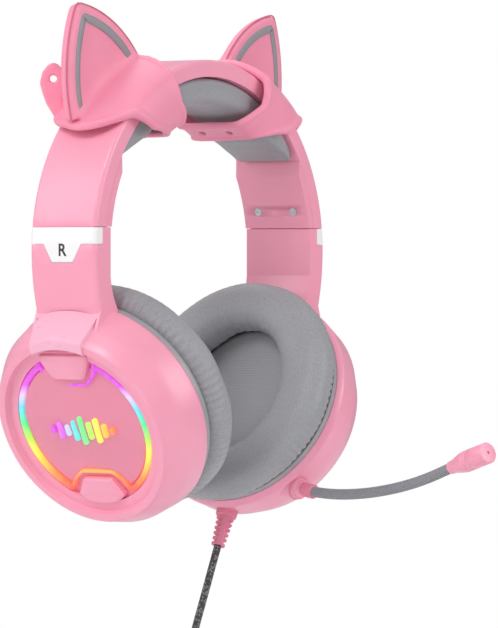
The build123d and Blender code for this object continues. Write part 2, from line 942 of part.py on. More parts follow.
def turn_section(inset):
    """The sleeve's section, turned to where the sleeve begins."""
    return sleeve_section(inset).rotate(band_axis, sleeve_start)


def make_pull_tab():
    """The finger tab that stands up behind the ear."""
    foot = at_band(band_radius + pull_rise, pull_angle, pull_back)
    plane = Plane(origin=foot, x_dir=(0.6, 0.8, 0), z_dir=(0.8, -0.6, 0))
    outline = Polyline(
        (-pull_foot_width / 2 - pull_foot_lean, -pull_foot_depth),
        (pull_foot_width / 2 - pull_foot_lean, -pull_foot_depth),
        (pull_foot_width / 2, 0),
        (pull_width / 2, pull_waist_height),
        (pull_width * 0.38, pull_shoulder_height),
        (0, pull_height),
        (-pull_width * 0.38, pull_shoulder_height),
        (-pull_width / 2, pull_waist_height),
        (-pull_foot_width / 2, 0),
        close=True,
    )
    hole = plane * Pos(0, pull_hole_height) * Circle(pull_hole_radius)
    tab = extrude(plane * make_face(outline), amount=pull_thickness) - extrude(hole, amount=pull_thickness)
    return tab - sleeve_solid()


def make_ear_trim():
    front = -ear_thickness / 2 + ear_dish
    wide = extrude(front_face(ear_outline(ear_margin)), amount=stripe_thickness, dir=(0, -1, 0))
    narrow = extrude(front_face(ear_outline(ear_margin + stripe_width)), amount=stripe_thickness, dir=(0, -1, 0))
    low = sleeve_solid()
    return Pos(0, front - 0.02, 0) * (wide - narrow) - low


# ---- cable --------------------------------------------------------------------------------


def relief_frame():
    """Where the strain relief leaves the cup, and its direction."""
    spot = at_cup(relief_depth, -(shell_radius - 0.9), relief_y)
    return Plane(origin=spot, z_dir=cup_up * -1)


def make_strain_relief():
    bore = cable_diameter / 2
    body = turned(
        [
            (0, -2.5),
            (relief_root_radius, -2.5),
            (relief_root_radius, relief_collar_gap),
            (relief_collar_radius, relief_collar_gap),
            (relief_collar_radius, relief_collar_length),
            (relief_root_radius, relief_collar_length),
            (relief_tip_radius, relief_length),
            (0, relief_length),
        ],
        relief_frame(),
    )
    pitch = (relief_length - relief_collar_length - 2) / relief_rib_count
    for step in range(relief_rib_count):
        low = relief_collar_length + 1 + step * pitch
        groove = washer(bore + 0.8, relief_root_radius + 1, low, low + pitch * 0.42, relief_frame())
        body -= groove
    return body


def cable_points():
    """The cable's route from the strain relief down to its coil, chosen by hand."""
    frame = relief_frame()
    start = frame.origin + frame.z_dir * relief_length
    return [
        start,
        start + Vector(-5.8, 0, -12.4),
        start + Vector(-11.4, 0.4, -26.0),
        start + Vector(-15.0, 0.8, -41.0),
        start + Vector(-16.2, 1.0, -55.0),
    ]


def coil_centre():
    """The middle of the hanging coil."""
    return cable_points()[-1] + Vector(-coil_side, 0, -coil_drop)


def cable_end_points():
    """The cable's short way out of the coil and down to the splitter."""
    centre = coil_centre()
    return [
        centre + Vector(coil_turn_radius, -coil_section_width / 2 + 1.4, -6.0),
        centre + Vector(coil_turn_radius + 0.6, -coil_section_width / 2 - 2.6, -17.0),
        centre + Vector(coil_turn_radius + 0.4, -coil_section_width / 2 - 4.0, -29.0),
    ]


def tail_points(side):
    """A tail's route from the splitter to its plug, on one side."""
    top = cable_end_points()[-1] + Vector(0, 0, -splitter_length)
    return [
        top + Vector(side * 3.0, 0, 0),
        top + Vector(side * 3.6, 0, -9.0),
        top + Vector(side * 9.0, 0, -20.0),
        top + Vector(side * 10.6, 0, -32.0),
    ]


def corner_radii(points):
    """The largest arc that each corner of a route has room for."""
    radii = []
    for before, here, after in zip(points, points[1:], points[2:]):
        first = here - before
        second = after - here
        half_turn = math.radians(first.get_angle(second)) / 2
        radii.append(0.45 * min(first.length, second.length) / math.tan(half_turn))
    return radii


def tube(points, diameter, name):
    """A round cord along straight runs with the largest arcs between them."""
    radii = corner_radii(points)
    path = FilletPolyline(*points, radius=radii)
    print(name, "radii", [round(r, 1) for r in radii], "length", round(path.length, 1))
    return sweep(Plane(origin=path @ 0, z_dir=path % 0) * Circle(diameter / 2), path=path)


def coil_frame():
    """The coil's frame: its axis points forwards."""
    return Plane(origin=coil_centre(), x_dir=(1, 0, 0), z_dir=(0, -1, 0))


def make_cable_coil():
    half = coil_section_width / 2
    inner = coil_turn_radius - coil_section_depth / 2
    outer = coil_turn_radius + coil_section_depth / 2
    return washer(inner, outer, -half, half, coil_frame())


def make_cable_tie():
    """The strap that holds the coil's turns together at the bottom."""
    half = coil_section_width / 2 + seat_gap
    inner = coil_turn_radius - coil_section_depth / 2 - seat_gap
    outer = coil_turn_radius + coil_section_depth / 2 + seat_gap
    thick = tie_thickness
    wrap = washer(inner - thick, outer + thick, -half - thick, half + thick, coil_frame())
    wrap -= washer(inner, outer, -half, half, coil_frame())
    window = Box(tie_width, 3 * coil_section_width, 3 * coil_section_depth)
    window = Pos(*coil_centre()) * Pos(0, 0, -coil_turn_radius) * window
    return wrap & window


def hanging(point):
    """A frame at a point, with its axis straight down."""
    return Plane(origin=point, x_dir=(1, 0, 0), z_dir=(0, 0, -1))


def make_splitter():
    section = RectangleRounded(splitter_width, splitter_depth, splitter_depth / 3)
    return extrude(hanging(cable_end_points()[-1]) * section, amount=splitter_length)


def make_jack_plug():
    """The sound plug: a moulded grip, a collar and a round pin."""
    return turned(
        [
            (0, 0),
            (plug_radius - 1.2, 0),
            (plug_radius, 4),
            (plug_radius, plug_length - 1),
            (plug_radius - 0.6, plug_length),
            (jack_radius + 0.9, plug_length),
            (jack_radius + 0.9, plug_length + 0.8),
            (jack_radius, plug_length + 0.8),
            (jack_radius, plug_length + jack_length - 1),
            (jack_radius - 0.9, plug_length + jack_length),
            (0, plug_length + jack_length),
        ],
        hanging(tail_points(-1)[-1]),
    )


def make_usb_plug():
    """The plug that powers the lights: a moulded grip and an open metal shell."""
    frame = hanging(tail_points(1)[-1])
    grip = extrude(frame * RectangleRounded(usb_body_width, usb_body_height, 2), amount=usb_body_length)
    end = frame.offset(usb_body_length)
    wall = usb_shell_wall
    shell = extrude(end * Rectangle(usb_shell_width, usb_shell_height), amount=usb_shell_length)
    room = Rectangle(usb_shell_width - 2 * wall, usb_shell_height - 2 * wall)
    shell -= extrude(end.offset(1) * room, amount=usb_shell_length)
    tongue_low = Pos(0, -usb_shell_height / 2 + 1.5 * wall + 0.5) * Rectangle(usb_shell_width - 4 * wall, 1.4)
    tongue = extrude(end * tongue_low, amount=usb_shell_length - 1)
    return grip + shell + tongue


def write(name, solid):
    """Write one node's STEP file."""
    export_step(solid, f"parts/{name}.step")


def write_pair(name, solid):
    """Write the left piece and its mirror image for the right."""
    write(f"{name}_left", solid)
    write(f"{name}_right", at_right(solid))


def write_headband():
    write("band_shell", make_band_shell())
    write("band_liner", make_band_liner())
    write("band_spring", make_band_spring())
    write("band_cushion", make_band_cushion())
    write("housing_screws", make_housing_screws())
    write_pair("slider_housing", make_slider_housing())


def write_cups():
    write("cup_shell_left", make_left_cup_shell())
    write("cup_shell_right", at_right(make_cup_shell()))
    write_pair("slider_strip", make_slider_strip())
    write_pair("side_plate", make_side_plate())
    write_pair("arm_cover", make_arm_cover())
    write_pair("face_panel", make_face_panel())
    write_pair("light_ring", make_light_ring())
    write_pair("light_board", make_light_board())
    write_pair("face_badges", make_face_badges())
    write_pair("lip_ring", make_lip_ring())
    write_pair("baffle", make_baffle())
    write_pair("cup_screws", make_cup_screws())
    write_pair("ear_pad", make_ear_pad())
    write_pair("speaker_cloth", make_speaker_cloth())
    write_pair("driver", make_driver())
    write_pair("driver_magnet", make_driver_magnet())


def write_controls():
    write("volume_wheel", make_volume_wheel())
    write("control_board", make_control_board())
    write("mute_button", make_mute_button())


def write_microphone():
    write("mic_socket", make_mic_socket())
    write("gooseneck_1", make_boom(boom_root, boom_sag_one, boom_knee, False))
    write("gooseneck_2", make_boom(boom_knee, boom_sag_two, boom_elbow, False))
    write("gooseneck_3", make_boom(boom_elbow, boom_sag_three, boom_tip, True))
    write("mic_housing", make_mic_housing())
    write("mic_capsule", make_mic_capsule())


def write_ears():
    write_pair("ear_saddle", make_ear_saddle())
    write_pair("ear_trim", make_ear_trim())


def write_cable():
    write("strain_relief", make_strain_relief())
    down = tube(cable_points(), cable_diameter, "cable")
    out = tube(cable_end_points(), cable_diameter, "cable end")
    write("cable", Compound(children=[down, out]))
    write("cable_coil", make_cable_coil())
    write("cable_tie", make_cable_tie())
    write("splitter", make_splitter())
    write("tail_jack", tube(tail_points(-1), tail_diameter, "jack tail"))
    write("tail_usb", tube(tail_points(1), tail_diameter, "usb tail"))
    write("jack_plug", make_jack_plug())
    write("usb_plug", make_usb_plug())


def main():
    os.makedirs("parts", exist_ok=True)
    write_headband()
    write_cups()
    write_controls()
    write_microphone()
    write_ears()
    write_cable()


main()
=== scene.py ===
import json
import logging
import math
from dataclasses import dataclass, field
from enum import Enum

import bmesh
import bpy
import numpy as np
from mathutils import Matrix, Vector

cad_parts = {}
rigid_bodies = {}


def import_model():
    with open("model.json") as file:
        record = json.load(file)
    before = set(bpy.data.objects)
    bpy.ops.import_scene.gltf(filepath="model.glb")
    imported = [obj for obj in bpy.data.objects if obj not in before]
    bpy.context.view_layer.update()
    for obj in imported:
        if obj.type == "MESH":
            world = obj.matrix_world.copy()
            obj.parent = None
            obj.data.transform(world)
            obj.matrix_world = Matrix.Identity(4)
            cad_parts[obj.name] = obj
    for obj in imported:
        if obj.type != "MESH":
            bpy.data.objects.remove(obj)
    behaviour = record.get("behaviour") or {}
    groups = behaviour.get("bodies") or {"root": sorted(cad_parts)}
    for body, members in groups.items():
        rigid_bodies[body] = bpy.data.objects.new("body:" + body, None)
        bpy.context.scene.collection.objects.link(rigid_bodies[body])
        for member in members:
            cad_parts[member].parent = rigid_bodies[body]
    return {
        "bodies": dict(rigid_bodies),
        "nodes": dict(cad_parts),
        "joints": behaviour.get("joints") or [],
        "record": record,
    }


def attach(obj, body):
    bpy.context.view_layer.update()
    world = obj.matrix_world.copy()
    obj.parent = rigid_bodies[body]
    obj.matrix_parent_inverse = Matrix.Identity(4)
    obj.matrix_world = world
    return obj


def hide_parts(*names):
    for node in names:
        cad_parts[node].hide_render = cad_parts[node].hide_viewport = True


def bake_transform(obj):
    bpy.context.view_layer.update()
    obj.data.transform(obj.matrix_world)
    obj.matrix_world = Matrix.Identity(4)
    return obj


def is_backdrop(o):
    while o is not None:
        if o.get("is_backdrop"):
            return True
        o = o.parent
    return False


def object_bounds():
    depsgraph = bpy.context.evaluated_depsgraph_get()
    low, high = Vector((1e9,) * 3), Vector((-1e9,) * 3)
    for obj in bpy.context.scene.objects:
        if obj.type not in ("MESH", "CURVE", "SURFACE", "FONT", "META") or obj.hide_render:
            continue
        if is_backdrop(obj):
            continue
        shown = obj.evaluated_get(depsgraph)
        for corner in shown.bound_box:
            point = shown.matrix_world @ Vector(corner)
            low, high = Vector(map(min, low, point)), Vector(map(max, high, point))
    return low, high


MM = 0.001
TAU = 2.0 * math.pi
log = logging.getLogger("headset")


class Side(Enum):
    """The wearer's left or right, as the sign of X."""

    LEFT = 1
    RIGHT = -1

    @property
    def word(self) -> str:
        """The side's name as the nodes use it."""
        return self.name.lower()

    @property
    def body(self) -> str:
        """The body that the side's cup rides on."""
        return f"{self.word}_side"


class Wrap(Enum):
    """How a grid of points closes on itself."""

    NONE = 0
    FIRST = 1
    SECOND = 2
    BOTH = 3


# ---------------------------------------------------------------------------
# shapes
# ---------------------------------------------------------------------------


def grid_mesh(name: str, points: np.ndarray, wrap: Wrap = Wrap.NONE, ends: bool = False) -> bpy.types.Object:
    """Makes a mesh from a grid of points, with a UV map that follows the grid.

    Args:
        name: the piece's name.
        points: an array (n, m, 3) in metres, a surface over two parameters.
        wrap: which of the two parameters closes on itself.
        ends: closes the two open ends of the second parameter with a pole each.

    Returns:
        The new object, at the origin, with its faces pointing outwards.
    """
    if ends:
        first = np.repeat(points[:, :1].mean(axis=0, keepdims=True), points.shape[0], axis=0)
        last = np.repeat(points[:, -1:].mean(axis=0, keepdims=True), points.shape[0], axis=0)
        points = np.concatenate([first, points, last], axis=1)
    rows, columns = points.shape[:2]
    row_faces = rows if wrap in (Wrap.FIRST, Wrap.BOTH) else rows - 1
    column_faces = columns if wrap in (Wrap.SECOND, Wrap.BOTH) else columns - 1
    i, j = np.meshgrid(np.arange(row_faces), np.arange(column_faces), indexing="ij")
    i2, j2 = (i + 1) % rows, (j + 1) % columns
    faces = np.stack([i * columns + j, i2 * columns + j, i2 * columns + j2, i * columns + j2], axis=-1)
    corners_u = np.stack([i, i + 1, i + 1, i], axis=-1) / row_faces
    corners_v = np.stack([j, j, j + 1, j + 1], axis=-1) / column_faces
    mesh = bpy.data.meshes.new(name)
    mesh.from_pydata(points.reshape(-1, 3).tolist(), [], faces.reshape(-1, 4).tolist())
    layer = mesh.uv_layers.new(name="UVMap")
    uv = np.stack([corners_u.reshape(-1), corners_v.reshape(-1)], axis=-1)
    layer.data.foreach_set("uv", uv.reshape(-1).astype(np.float32))
    return finished_object(name, mesh)


def finished_object(name: str, mesh: bpy.types.Mesh, merge: float = 1e-6) -> bpy.types.Object:
    """Merges a mesh's doubles, turns its faces outwards and makes it a smooth object.

    Args:
        name: the piece's name.
        mesh: the mesh to tidy.
        merge: the distance in metres under which points are one.

    Returns:
        The object, linked to the scene.
    """
    work = bmesh.new()
    work.from_mesh(mesh)
    bmesh.ops.remove_doubles(work, verts=work.verts, dist=merge)
    bmesh.ops.dissolve_degenerate(work, edges=work.edges, dist=merge)
    bmesh.ops.recalc_face_normals(work, faces=work.faces)
    work.to_mesh(mesh)
    work.free()
    mesh.shade_smooth()
    piece = bpy.data.objects.new(name, mesh)
    bpy.context.scene.collection.objects.link(piece)
    return piece


def joined(name: str, parts: list[bpy.types.Object]) -> bpy.types.Object:
    """Joins several mesh objects into one piece.

    Args:
        name: the new piece's name.
        parts: the objects, which are used up.

    Returns:
        The joined object.
    """
    with bpy.context.temp_override(
        active_object=parts[0], object=parts[0], selected_objects=parts, selected_editable_objects=parts
    ):
        bpy.ops.object.join()
    parts[0].name = name
    parts[0].data.name = name
    return parts[0]


def sharpened(piece: bpy.types.Object, degrees: float = 35.0) -> bpy.types.Object:
    """Marks the edges that turn by more than an angle as sharp, so that shading breaks there."""
    mesh = piece.data
    work = bmesh.new()
    work.from_mesh(mesh)
    limit = math.radians(degrees)
    for edge in work.edges:
        edge.smooth = len(edge.link_faces) == 2 and edge.calc_face_angle(0.0) < limit
    work.to_mesh(mesh)
    work.free()
    return piece


def bevelled(
    piece: bpy.types.Object, width: float, segments: int = 2, degrees: float = 30.0
) -> bpy.types.Object:
    """Rounds a piece's sharp edges.

    Args:
        piece: the object.
        width: the bevel's width in metres.
        segments: its steps.
        degrees: edges that turn by less stay as they are.

    Returns:
        The same object.
    """
    bevel = piece.modifiers.new("rounded", "BEVEL")
    bevel.width = width
    bevel.segments = segments
    bevel.limit_method = "ANGLE"
    bevel.angle_limit = math.radians(degrees)
    bevel.harden_normals = False
    return piece


def rounded_rectangle(half_x: float, half_y: float, corner: float, steps: int = 6) -> np.ndarray:
    """A rounded rectangle's outline: four quarter circles joined by straight sides.

    Args:
        half_x: half its width.
        half_y: half its height.
        corner: the corners' radius.
        steps: points in each quarter circle.

    Returns:
        An array (4 * steps, 2), anticlockwise.
    """
    turn = np.linspace(0.0, TAU / 4, steps)
    quarters = []
    for k, (sx, sy) in enumerate(((1, 1), (-1, 1), (-1, -1), (1, -1))):
        a = turn + k * TAU / 4
        centre = np.array([sx * (half_x - corner), sy * (half_y - corner)])
        quarters.append(centre + corner * np.stack([np.cos(a), np.sin(a)], axis=-1))
    return np.concatenate(quarters)


def evenly(points: np.ndarray, count: int, closed: bool = False) -> np.ndarray:
    """Points at even distances along a line.

    Args:
        points: the line's points, an array (n, k).
        count: how many points to give.
        closed: whether the line runs back to its first point.

    Returns:
        An array (count, k).
    """
    if closed:
        points = np.concatenate([points, points[:1]])
    steps = np.linalg.norm(np.diff(points, axis=0), axis=1)
    along = np.concatenate([[0.0], np.cumsum(steps)])
    wanted = np.linspace(0.0, along[-1], count + 1)[:-1] if closed else np.linspace(0.0, along[-1], count)
    return np.stack([np.interp(wanted, along, points[:, k]) for k in range(points.shape[1])], axis=-1)


def arc_through(first: tuple, middle: tuple, last: tuple, count: int) -> np.ndarray:
    """Points on the circle through three points in a plane, from the first to the last."""
    a, b, c = (complex(*p) for p in (first, middle, last))
    w = (c - a) / (b - a)
    centre = (b - a) * (w - abs(w) ** 2) / (2j * w.imag) + a
    radius = abs(a - centre)
    start = np.angle(a - centre)
    way = np.angle((b - centre) / (a - centre))
    total = np.angle((c - centre) / (a - centre))
    if way * total < 0:
        total += math.copysign(TAU, way)
    angles = start + np.linspace(0.0, total, count)
    return np.stack([centre.real + radius * np.cos(angles), centre.imag + radius * np.sin(angles)], axis=-1)


def soft_noise(x: np.ndarray, y: np.ndarray, seed: int) -> np.ndarray:
    """A smooth repeatable unevenness between about -1 and 1: a sum of six sine waves.

    Args:
        x: the first coordinate, in waves.
        y: the second coordinate, in waves.
        seed: picks the waves' directions and phases.

    Returns:
        The unevenness at each place.
    """
    draw = np.random.default_rng(seed)
    total = np.zeros(np.broadcast(x, y).shape)
    for _ in range(6):
        a, b = draw.uniform(-1.0, 1.0, 2)
        total = total + np.sin(TAU * (a * x + b * y) + draw.uniform(0.0, TAU)) / 3.0
    return total


def path_frames(path: np.ndarray) -> tuple[np.ndarray, np.ndarray, np.ndarray]:
    """Directions along a path and two directions across it that turn as little as they can.

    Args:
        path: an array (n, 3).

    Returns:
        Three arrays (n, 3): along, side and up.
    """
    along = np.gradient(path, axis=0)
    along /= np.linalg.norm(along, axis=1, keepdims=True)
    side = np.empty_like(along)
    start = np.cross(along[0], (0.0, 0.0, 1.0))
    if np.linalg.norm(start) < 0.1:
        start = np.cross(along[0], (0.0, 1.0, 0.0))
    side[0] = start / np.linalg.norm(start)
    for k in range(1, len(path)):
        moved = side[k - 1] - along[k] * np.dot(side[k - 1], along[k])
        side[k] = moved / np.linalg.norm(moved)
    return along, side, np.cross(side, along)


def tube_points(path: np.ndarray, radius: np.ndarray, around: int) -> np.ndarray:
    """A tube's surface: a circle of the given radius carried along a path.

    Args:
        path: the middle line, an array (n, 3).
        radius: the radius at each point, or an array (around, n).
        around: points in each circle.

    Returns:
        An array (around, n, 3).
    """
    _, side, up = path_frames(path)
    angle = np.linspace(0.0, TAU, around, endpoint=False)[:, None, None]
    reach = np.broadcast_to(radius, (around, len(path)))[:, :, None]
    return path[None] + reach * (np.cos(angle) * side[None] + np.sin(angle) * up[None])


def curve_points(points: list, samples: int) -> np.ndarray:
    """Points read along the smooth spline that a route's points control.

    Args:
        points: the control points.
        samples: how many points to give, evenly spaced.

    Returns:
        An array (samples, 3).
    """
    line = spline_object("route", points, 0.0)
    mesh = bpy.data.meshes.new_from_object(line.evaluated_get(bpy.context.evaluated_depsgraph_get()))
    read = np.empty(len(mesh.vertices) * 3, np.float32)
    mesh.vertices.foreach_get("co", read)
    bpy.data.meshes.remove(mesh)
    data = line.data
    bpy.data.objects.remove(line)
    bpy.data.curves.remove(data)
    return evenly(read.reshape(-1, 3).astype(float), samples)


def spline_object(name: str, points: list, radius: float) -> bpy.types.Object:
    """A round cord on a smooth spline with the given control points.

    Args:
        name: the piece's name.
        points: the control points in metres.
        radius: the cord's radius, or 0 for a bare line.

    Returns:
        The curve object.
    """
    data = bpy.data.curves.new(name, "CURVE")
    data.dimensions = "3D"
    data.resolution_u = 6
    spline = data.splines.new("NURBS")
    spline.points.add(len(points) - 1)
    flat = [c for p in points for c in (p[0], p[1], p[2], 1.0)]
    spline.points.foreach_set("co", flat)
    spline.order_u = 3
    spline.use_endpoint_u = True
    if radius > 0.0:
        data.bevel_depth = radius
        data.bevel_resolution = 4
        data.use_fill_caps = True
    piece = bpy.data.objects.new(name, data)
    bpy.context.scene.collection.objects.link(piece)
    return piece


# ---------------------------------------------------------------------------
# finishes
# ---------------------------------------------------------------------------

Colour = tuple[float, float, float]


def paint(red: int, green: int, blue: int) -> Colour:
    """A display colour from 0 to 255 as the linear values that shaders take."""
    shares = (red / 255.0, green / 255.0, blue / 255.0)
    return tuple(s / 12.92 if s <= 0.04045 else ((s + 0.055) / 1.055) ** 2.4 for s in shares)


def toned(colour: Colour, factor: float) -> Colour:
    """The colour, darker or lighter by a factor."""
    return tuple(min(1.0, c * factor) for c in colour)


class Tree:
    """A material and short ways to put nodes into it."""

    def __init__(self, name: str) -> None:
        """Starts the material.

        Args:
            name: the finish's name.
        """
        self.material = bpy.data.materials.new(name)
        self.material.use_nodes = True
        self.nodes = self.material.node_tree.nodes
        self.links = self.material.node_tree.links
        self.shader = self.nodes["Principled BSDF"]

    def add(self, kind: str, inputs: dict | None = None, **settings) -> bpy.types.Node:
        """Adds a node.

        Args:
            kind: the node's type without its ShaderNode prefix.
            inputs: values or sockets by the input's name or number.
            settings: the node's own settings.

        Returns:
            The node.
        """
        node = self.nodes.new("ShaderNode" + kind)
        for key, value in settings.items():
            setattr(node, key, value)
        for key, value in (inputs or {}).items():
            self.feed(node.inputs[key], value)
        return node

    def feed(self, socket: bpy.types.NodeSocket, value) -> None:
        """Links a socket to another, or sets its value."""
        if isinstance(value, bpy.types.NodeSocket):
            self.links.new(value, socket)
        elif isinstance(value, tuple) and len(value) == 3 and socket.type == "RGBA":
            socket.default_value = (*value, 1.0)
        else:
            socket.default_value = value

    def set(self, **inputs) -> None:
        """Feeds the shader's inputs, named with underscores for spaces."""
        for key, value in inputs.items():
            self.feed(self.shader.inputs[key.replace("_", " ")], value)

    def place(self, uv: bool = False) -> bpy.types.NodeSocket:
        """The coordinates of a piece: its own metres, or its UV map."""
        return self.add("TexCoord").outputs["UV" if uv else "Object"]

    def mapped(self, vector: bpy.types.NodeSocket, **inputs) -> bpy.types.NodeSocket:
        """Moves, turns and scales coordinates."""
        node = self.add("Mapping", {key.capitalize(): value for key, value in inputs.items()})
        self.links.new(vector, node.inputs["Vector"])
        return node.outputs["Vector"]

    def math(self, operation: str, *values) -> bpy.types.NodeSocket:
        """The result of a sum on one to three values."""
        return self.add("Math", dict(enumerate(values)), operation=operation).outputs[0]

    def noise(self, vector, scale: float, detail: float = 2.0, rough: float = 0.5) -> bpy.types.NodeSocket:
        """Cloudy noise between 0 and 1."""
        inputs = {"Vector": vector, "Scale": scale, "Detail": detail, "Roughness": rough}
        return self.add("TexNoise", inputs).outputs["Fac"]

    def cells(self, vector, scale: float, feature: str = "F1") -> bpy.types.NodeSocket:
        """The distance in a pattern of irregular cells."""
        return self.add("TexVoronoi", {"Vector": vector, "Scale": scale}, feature=feature).outputs["Distance"]

    def ramp(self, factor, stops: list, ease: str = "LINEAR") -> bpy.types.NodeSocket:
        """A colour by a factor.

        Args:
            factor: the socket that picks the colour.
            stops: pairs of a place from 0 to 1 and a colour.
            ease: how the ramp goes between its stops.

        Returns:
            The colour socket.
        """
        node = self.add("ValToRGB", {"Fac": factor})
        ramp = node.color_ramp
        ramp.interpolation = ease
        for index, (spot, colour) in enumerate(stops):
            stop = ramp.elements[index] if index < 2 else ramp.elements.new(spot)
            stop.position = spot
            stop.color = (*colour, 1.0)
        return node.outputs["Color"]

    def span(self, value, low: float, high: float, out_low: float = 0.0, out_high: float = 1.0):
        """Maps a range of values to another, clamped."""
        inputs = {"Value": value, "From Min": low, "From Max": high, "To Min": out_low, "To Max": out_high}
        return self.add("MapRange", inputs).outputs["Result"]

    def mix(self, factor, first, second) -> bpy.types.NodeSocket:
        """A colour between two others."""
        node = self.add("Mix", data_type="RGBA")
        self.feed(node.inputs[0], factor)
        self.feed(node.inputs[6], first)
        self.feed(node.inputs[7], second)
        return node.outputs[2]

    def bump(self, height, depth: float, under=None, strength: float = 1.0) -> bpy.types.NodeSocket:
        """A normal raised by a height pattern, over another normal if given."""
        inputs = {"Height": height, "Distance": depth, "Strength": strength}
        if under is not None:
            inputs["Normal"] = under
        return self.add("Bump", inputs).outputs["Normal"]


@dataclass(frozen=True)
class MouldedPlastic:
    """Moulded plastic: a fine grain, faint clouds of colour and small rubbed marks."""

    name: str
    colour: Colour
    roughness: float = 0.34
    coat: float = 0.35
    grain: float = 2400.0
    grain_depth: float = 0.012 * MM
    clouds: float = 0.05
    glow: float = 0.06

    def build(self) -> bpy.types.Material:
        """Makes the material.

        Returns:
            The finish: noise mottles the colour, finer noise the roughness and the normal.
        """
        tree = Tree(self.name)
        place = tree.place()
        clouds = tree.noise(place, 38.0, 3.0)
        dark, light = toned(self.colour, 1.0 - self.clouds), toned(self.colour, 1.0 + self.clouds)
        tree.set(Base_Color=tree.mix(clouds, dark, light))
        marks = tree.noise(tree.mapped(place, scale=(1.0, 0.25, 1.0)), 420.0, 4.0, 0.65)
        tree.set(Roughness=tree.span(marks, 0.3, 0.75, self.roughness - 0.05, self.roughness + 0.09))
        tree.set(Normal=tree.bump(tree.noise(place, self.grain, 2.0), self.grain_depth))
        tree.set(Coat_Weight=self.coat, Coat_Roughness=0.3)
        tree.set(Subsurface_Weight=self.glow, Subsurface_Scale=0.6 * MM)
        tree.set(Subsurface_Radius=(1.0, 0.6, 0.6))
        return tree.material


@dataclass(frozen=True)
class Silicone:
    """Soft silicone: matt, a little see-through at its edges, with a bloom of fine dust."""

    name: str
    colour: Colour
    roughness: float = 0.48
    glow: float = 0.25

    def build(self) -> bpy.types.Material:
        """Makes the material.

        Returns:
            The finish: a soft grain, a faint sheen and light that carries under the surface.
        """
        tree = Tree(self.name)
        place = tree.place()
        clouds = tree.noise(place, 60.0, 3.0)
        tree.set(Base_Color=tree.mix(clouds, toned(self.colour, 0.95), toned(self.colour, 1.04)))
        dust = tree.noise(place, 900.0, 5.0, 0.7)
        tree.set(Roughness=tree.span(dust, 0.35, 0.7, self.roughness - 0.06, self.roughness + 0.08))
        fine = tree.bump(tree.noise(place, 1900.0, 2.0), 0.018 * MM)
        tree.set(Normal=tree.bump(tree.noise(place, 160.0, 2.0), 0.05 * MM, fine))
        tree.set(Subsurface_Weight=self.glow, Subsurface_Scale=1.6 * MM, Subsurface_Radius=(1.0, 0.55, 0.6))
        tree.set(Sheen_Weight=0.12, Sheen_Roughness=0.4)
        return tree.material


@dataclass(frozen=True)
class Leather:
    """Soft synthetic leather: pebbled grain, fine creases and a satin shine."""

    name: str
    colour: Colour
    pebble: float = 1100.0
    roughness: float = 0.42

    def build(self) -> bpy.types.Material:
        """Makes the material.

        Returns:
            The finish: irregular cells are the pebbles, their edges the valleys, darkened in the colour as
                painted shade.
        """
        tree = Tree(self.name)
        place = tree.place()
        warp = tree.noise(place, 300.0, 2.0)
        shift = tree.math("MULTIPLY", warp, 0.0016)
        bent = tree.add("VectorMath", {0: place, 1: shift}, operation="ADD").outputs[0]
        edges = tree.cells(bent, self.pebble, "DISTANCE_TO_EDGE")
        pebbles = tree.span(edges, 0.0, 0.22)
        clouds = tree.noise(place, 45.0, 3.0)
        base = tree.mix(clouds, toned(self.colour, 0.92), toned(self.colour, 1.07))
        # painted shade: the valleys between pebbles are darkened in the colour
        tree.set(Base_Color=tree.mix(pebbles, toned(self.colour, 0.8), base))
        tree.set(Roughness=tree.span(pebbles, 0.0, 1.0, self.roughness + 0.12, self.roughness - 0.03))
        creases = tree.noise(tree.mapped(place, scale=(1.0, 1.0, 1.0)), 240.0, 4.0, 0.6)
        under = tree.bump(creases, 0.09 * MM)
        tree.set(Normal=tree.bump(pebbles, 0.05 * MM, under))
        tree.set(Coat_Weight=0.08, Coat_Roughness=0.35, Sheen_Weight=0.1, Sheen_Roughness=0.5)
        return tree.material


@dataclass(frozen=True)
class WovenCloth:
    """Plain woven cloth: threads over and under one another across the piece's UV map."""

    name: str
    colour: Colour
    threads: float = 90.0

    def build(self) -> bpy.types.Material:
        """Makes the material.

        Returns:
            The finish: the product of two crossed sines lifts each thread in turn.
        """
        tree = Tree(self.name)
        axes = tree.add("SeparateXYZ", {0: tree.place(uv=True)})
        across = tree.math("SINE", tree.math("MULTIPLY", axes.outputs[0], self.threads * TAU / 2))
        along = tree.math("SINE", tree.math("MULTIPLY", axes.outputs[1], self.threads * TAU / 2))
        over = tree.math("MULTIPLY", across, along)
        warp = tree.math("ABSOLUTE", across)
        weft = tree.math("ABSOLUTE", along)
        raised_warp = tree.math("MULTIPLY", warp, tree.span(over, -0.2, 0.2))
        raised_weft = tree.math("MULTIPLY", weft, tree.span(over, 0.2, -0.2))
        height = tree.math("MAXIMUM", raised_warp, raised_weft)
        fuzz = tree.noise(tree.place(), 5200.0, 3.0)
        thread = tree.mix(fuzz, toned(self.colour, 0.85), toned(self.colour, 1.2))
        # painted shade: the low places between threads are darkened in the colour
        tree.set(Base_Color=tree.mix(tree.span(height, 0.15, 0.9), toned(self.colour, 0.6), thread))
        tree.set(Roughness=0.85, Sheen_Weight=0.35, Sheen_Roughness=0.45)
        tree.set(Normal=tree.bump(height, 0.2 * MM, tree.bump(fuzz, 0.03 * MM)))
        return tree.material


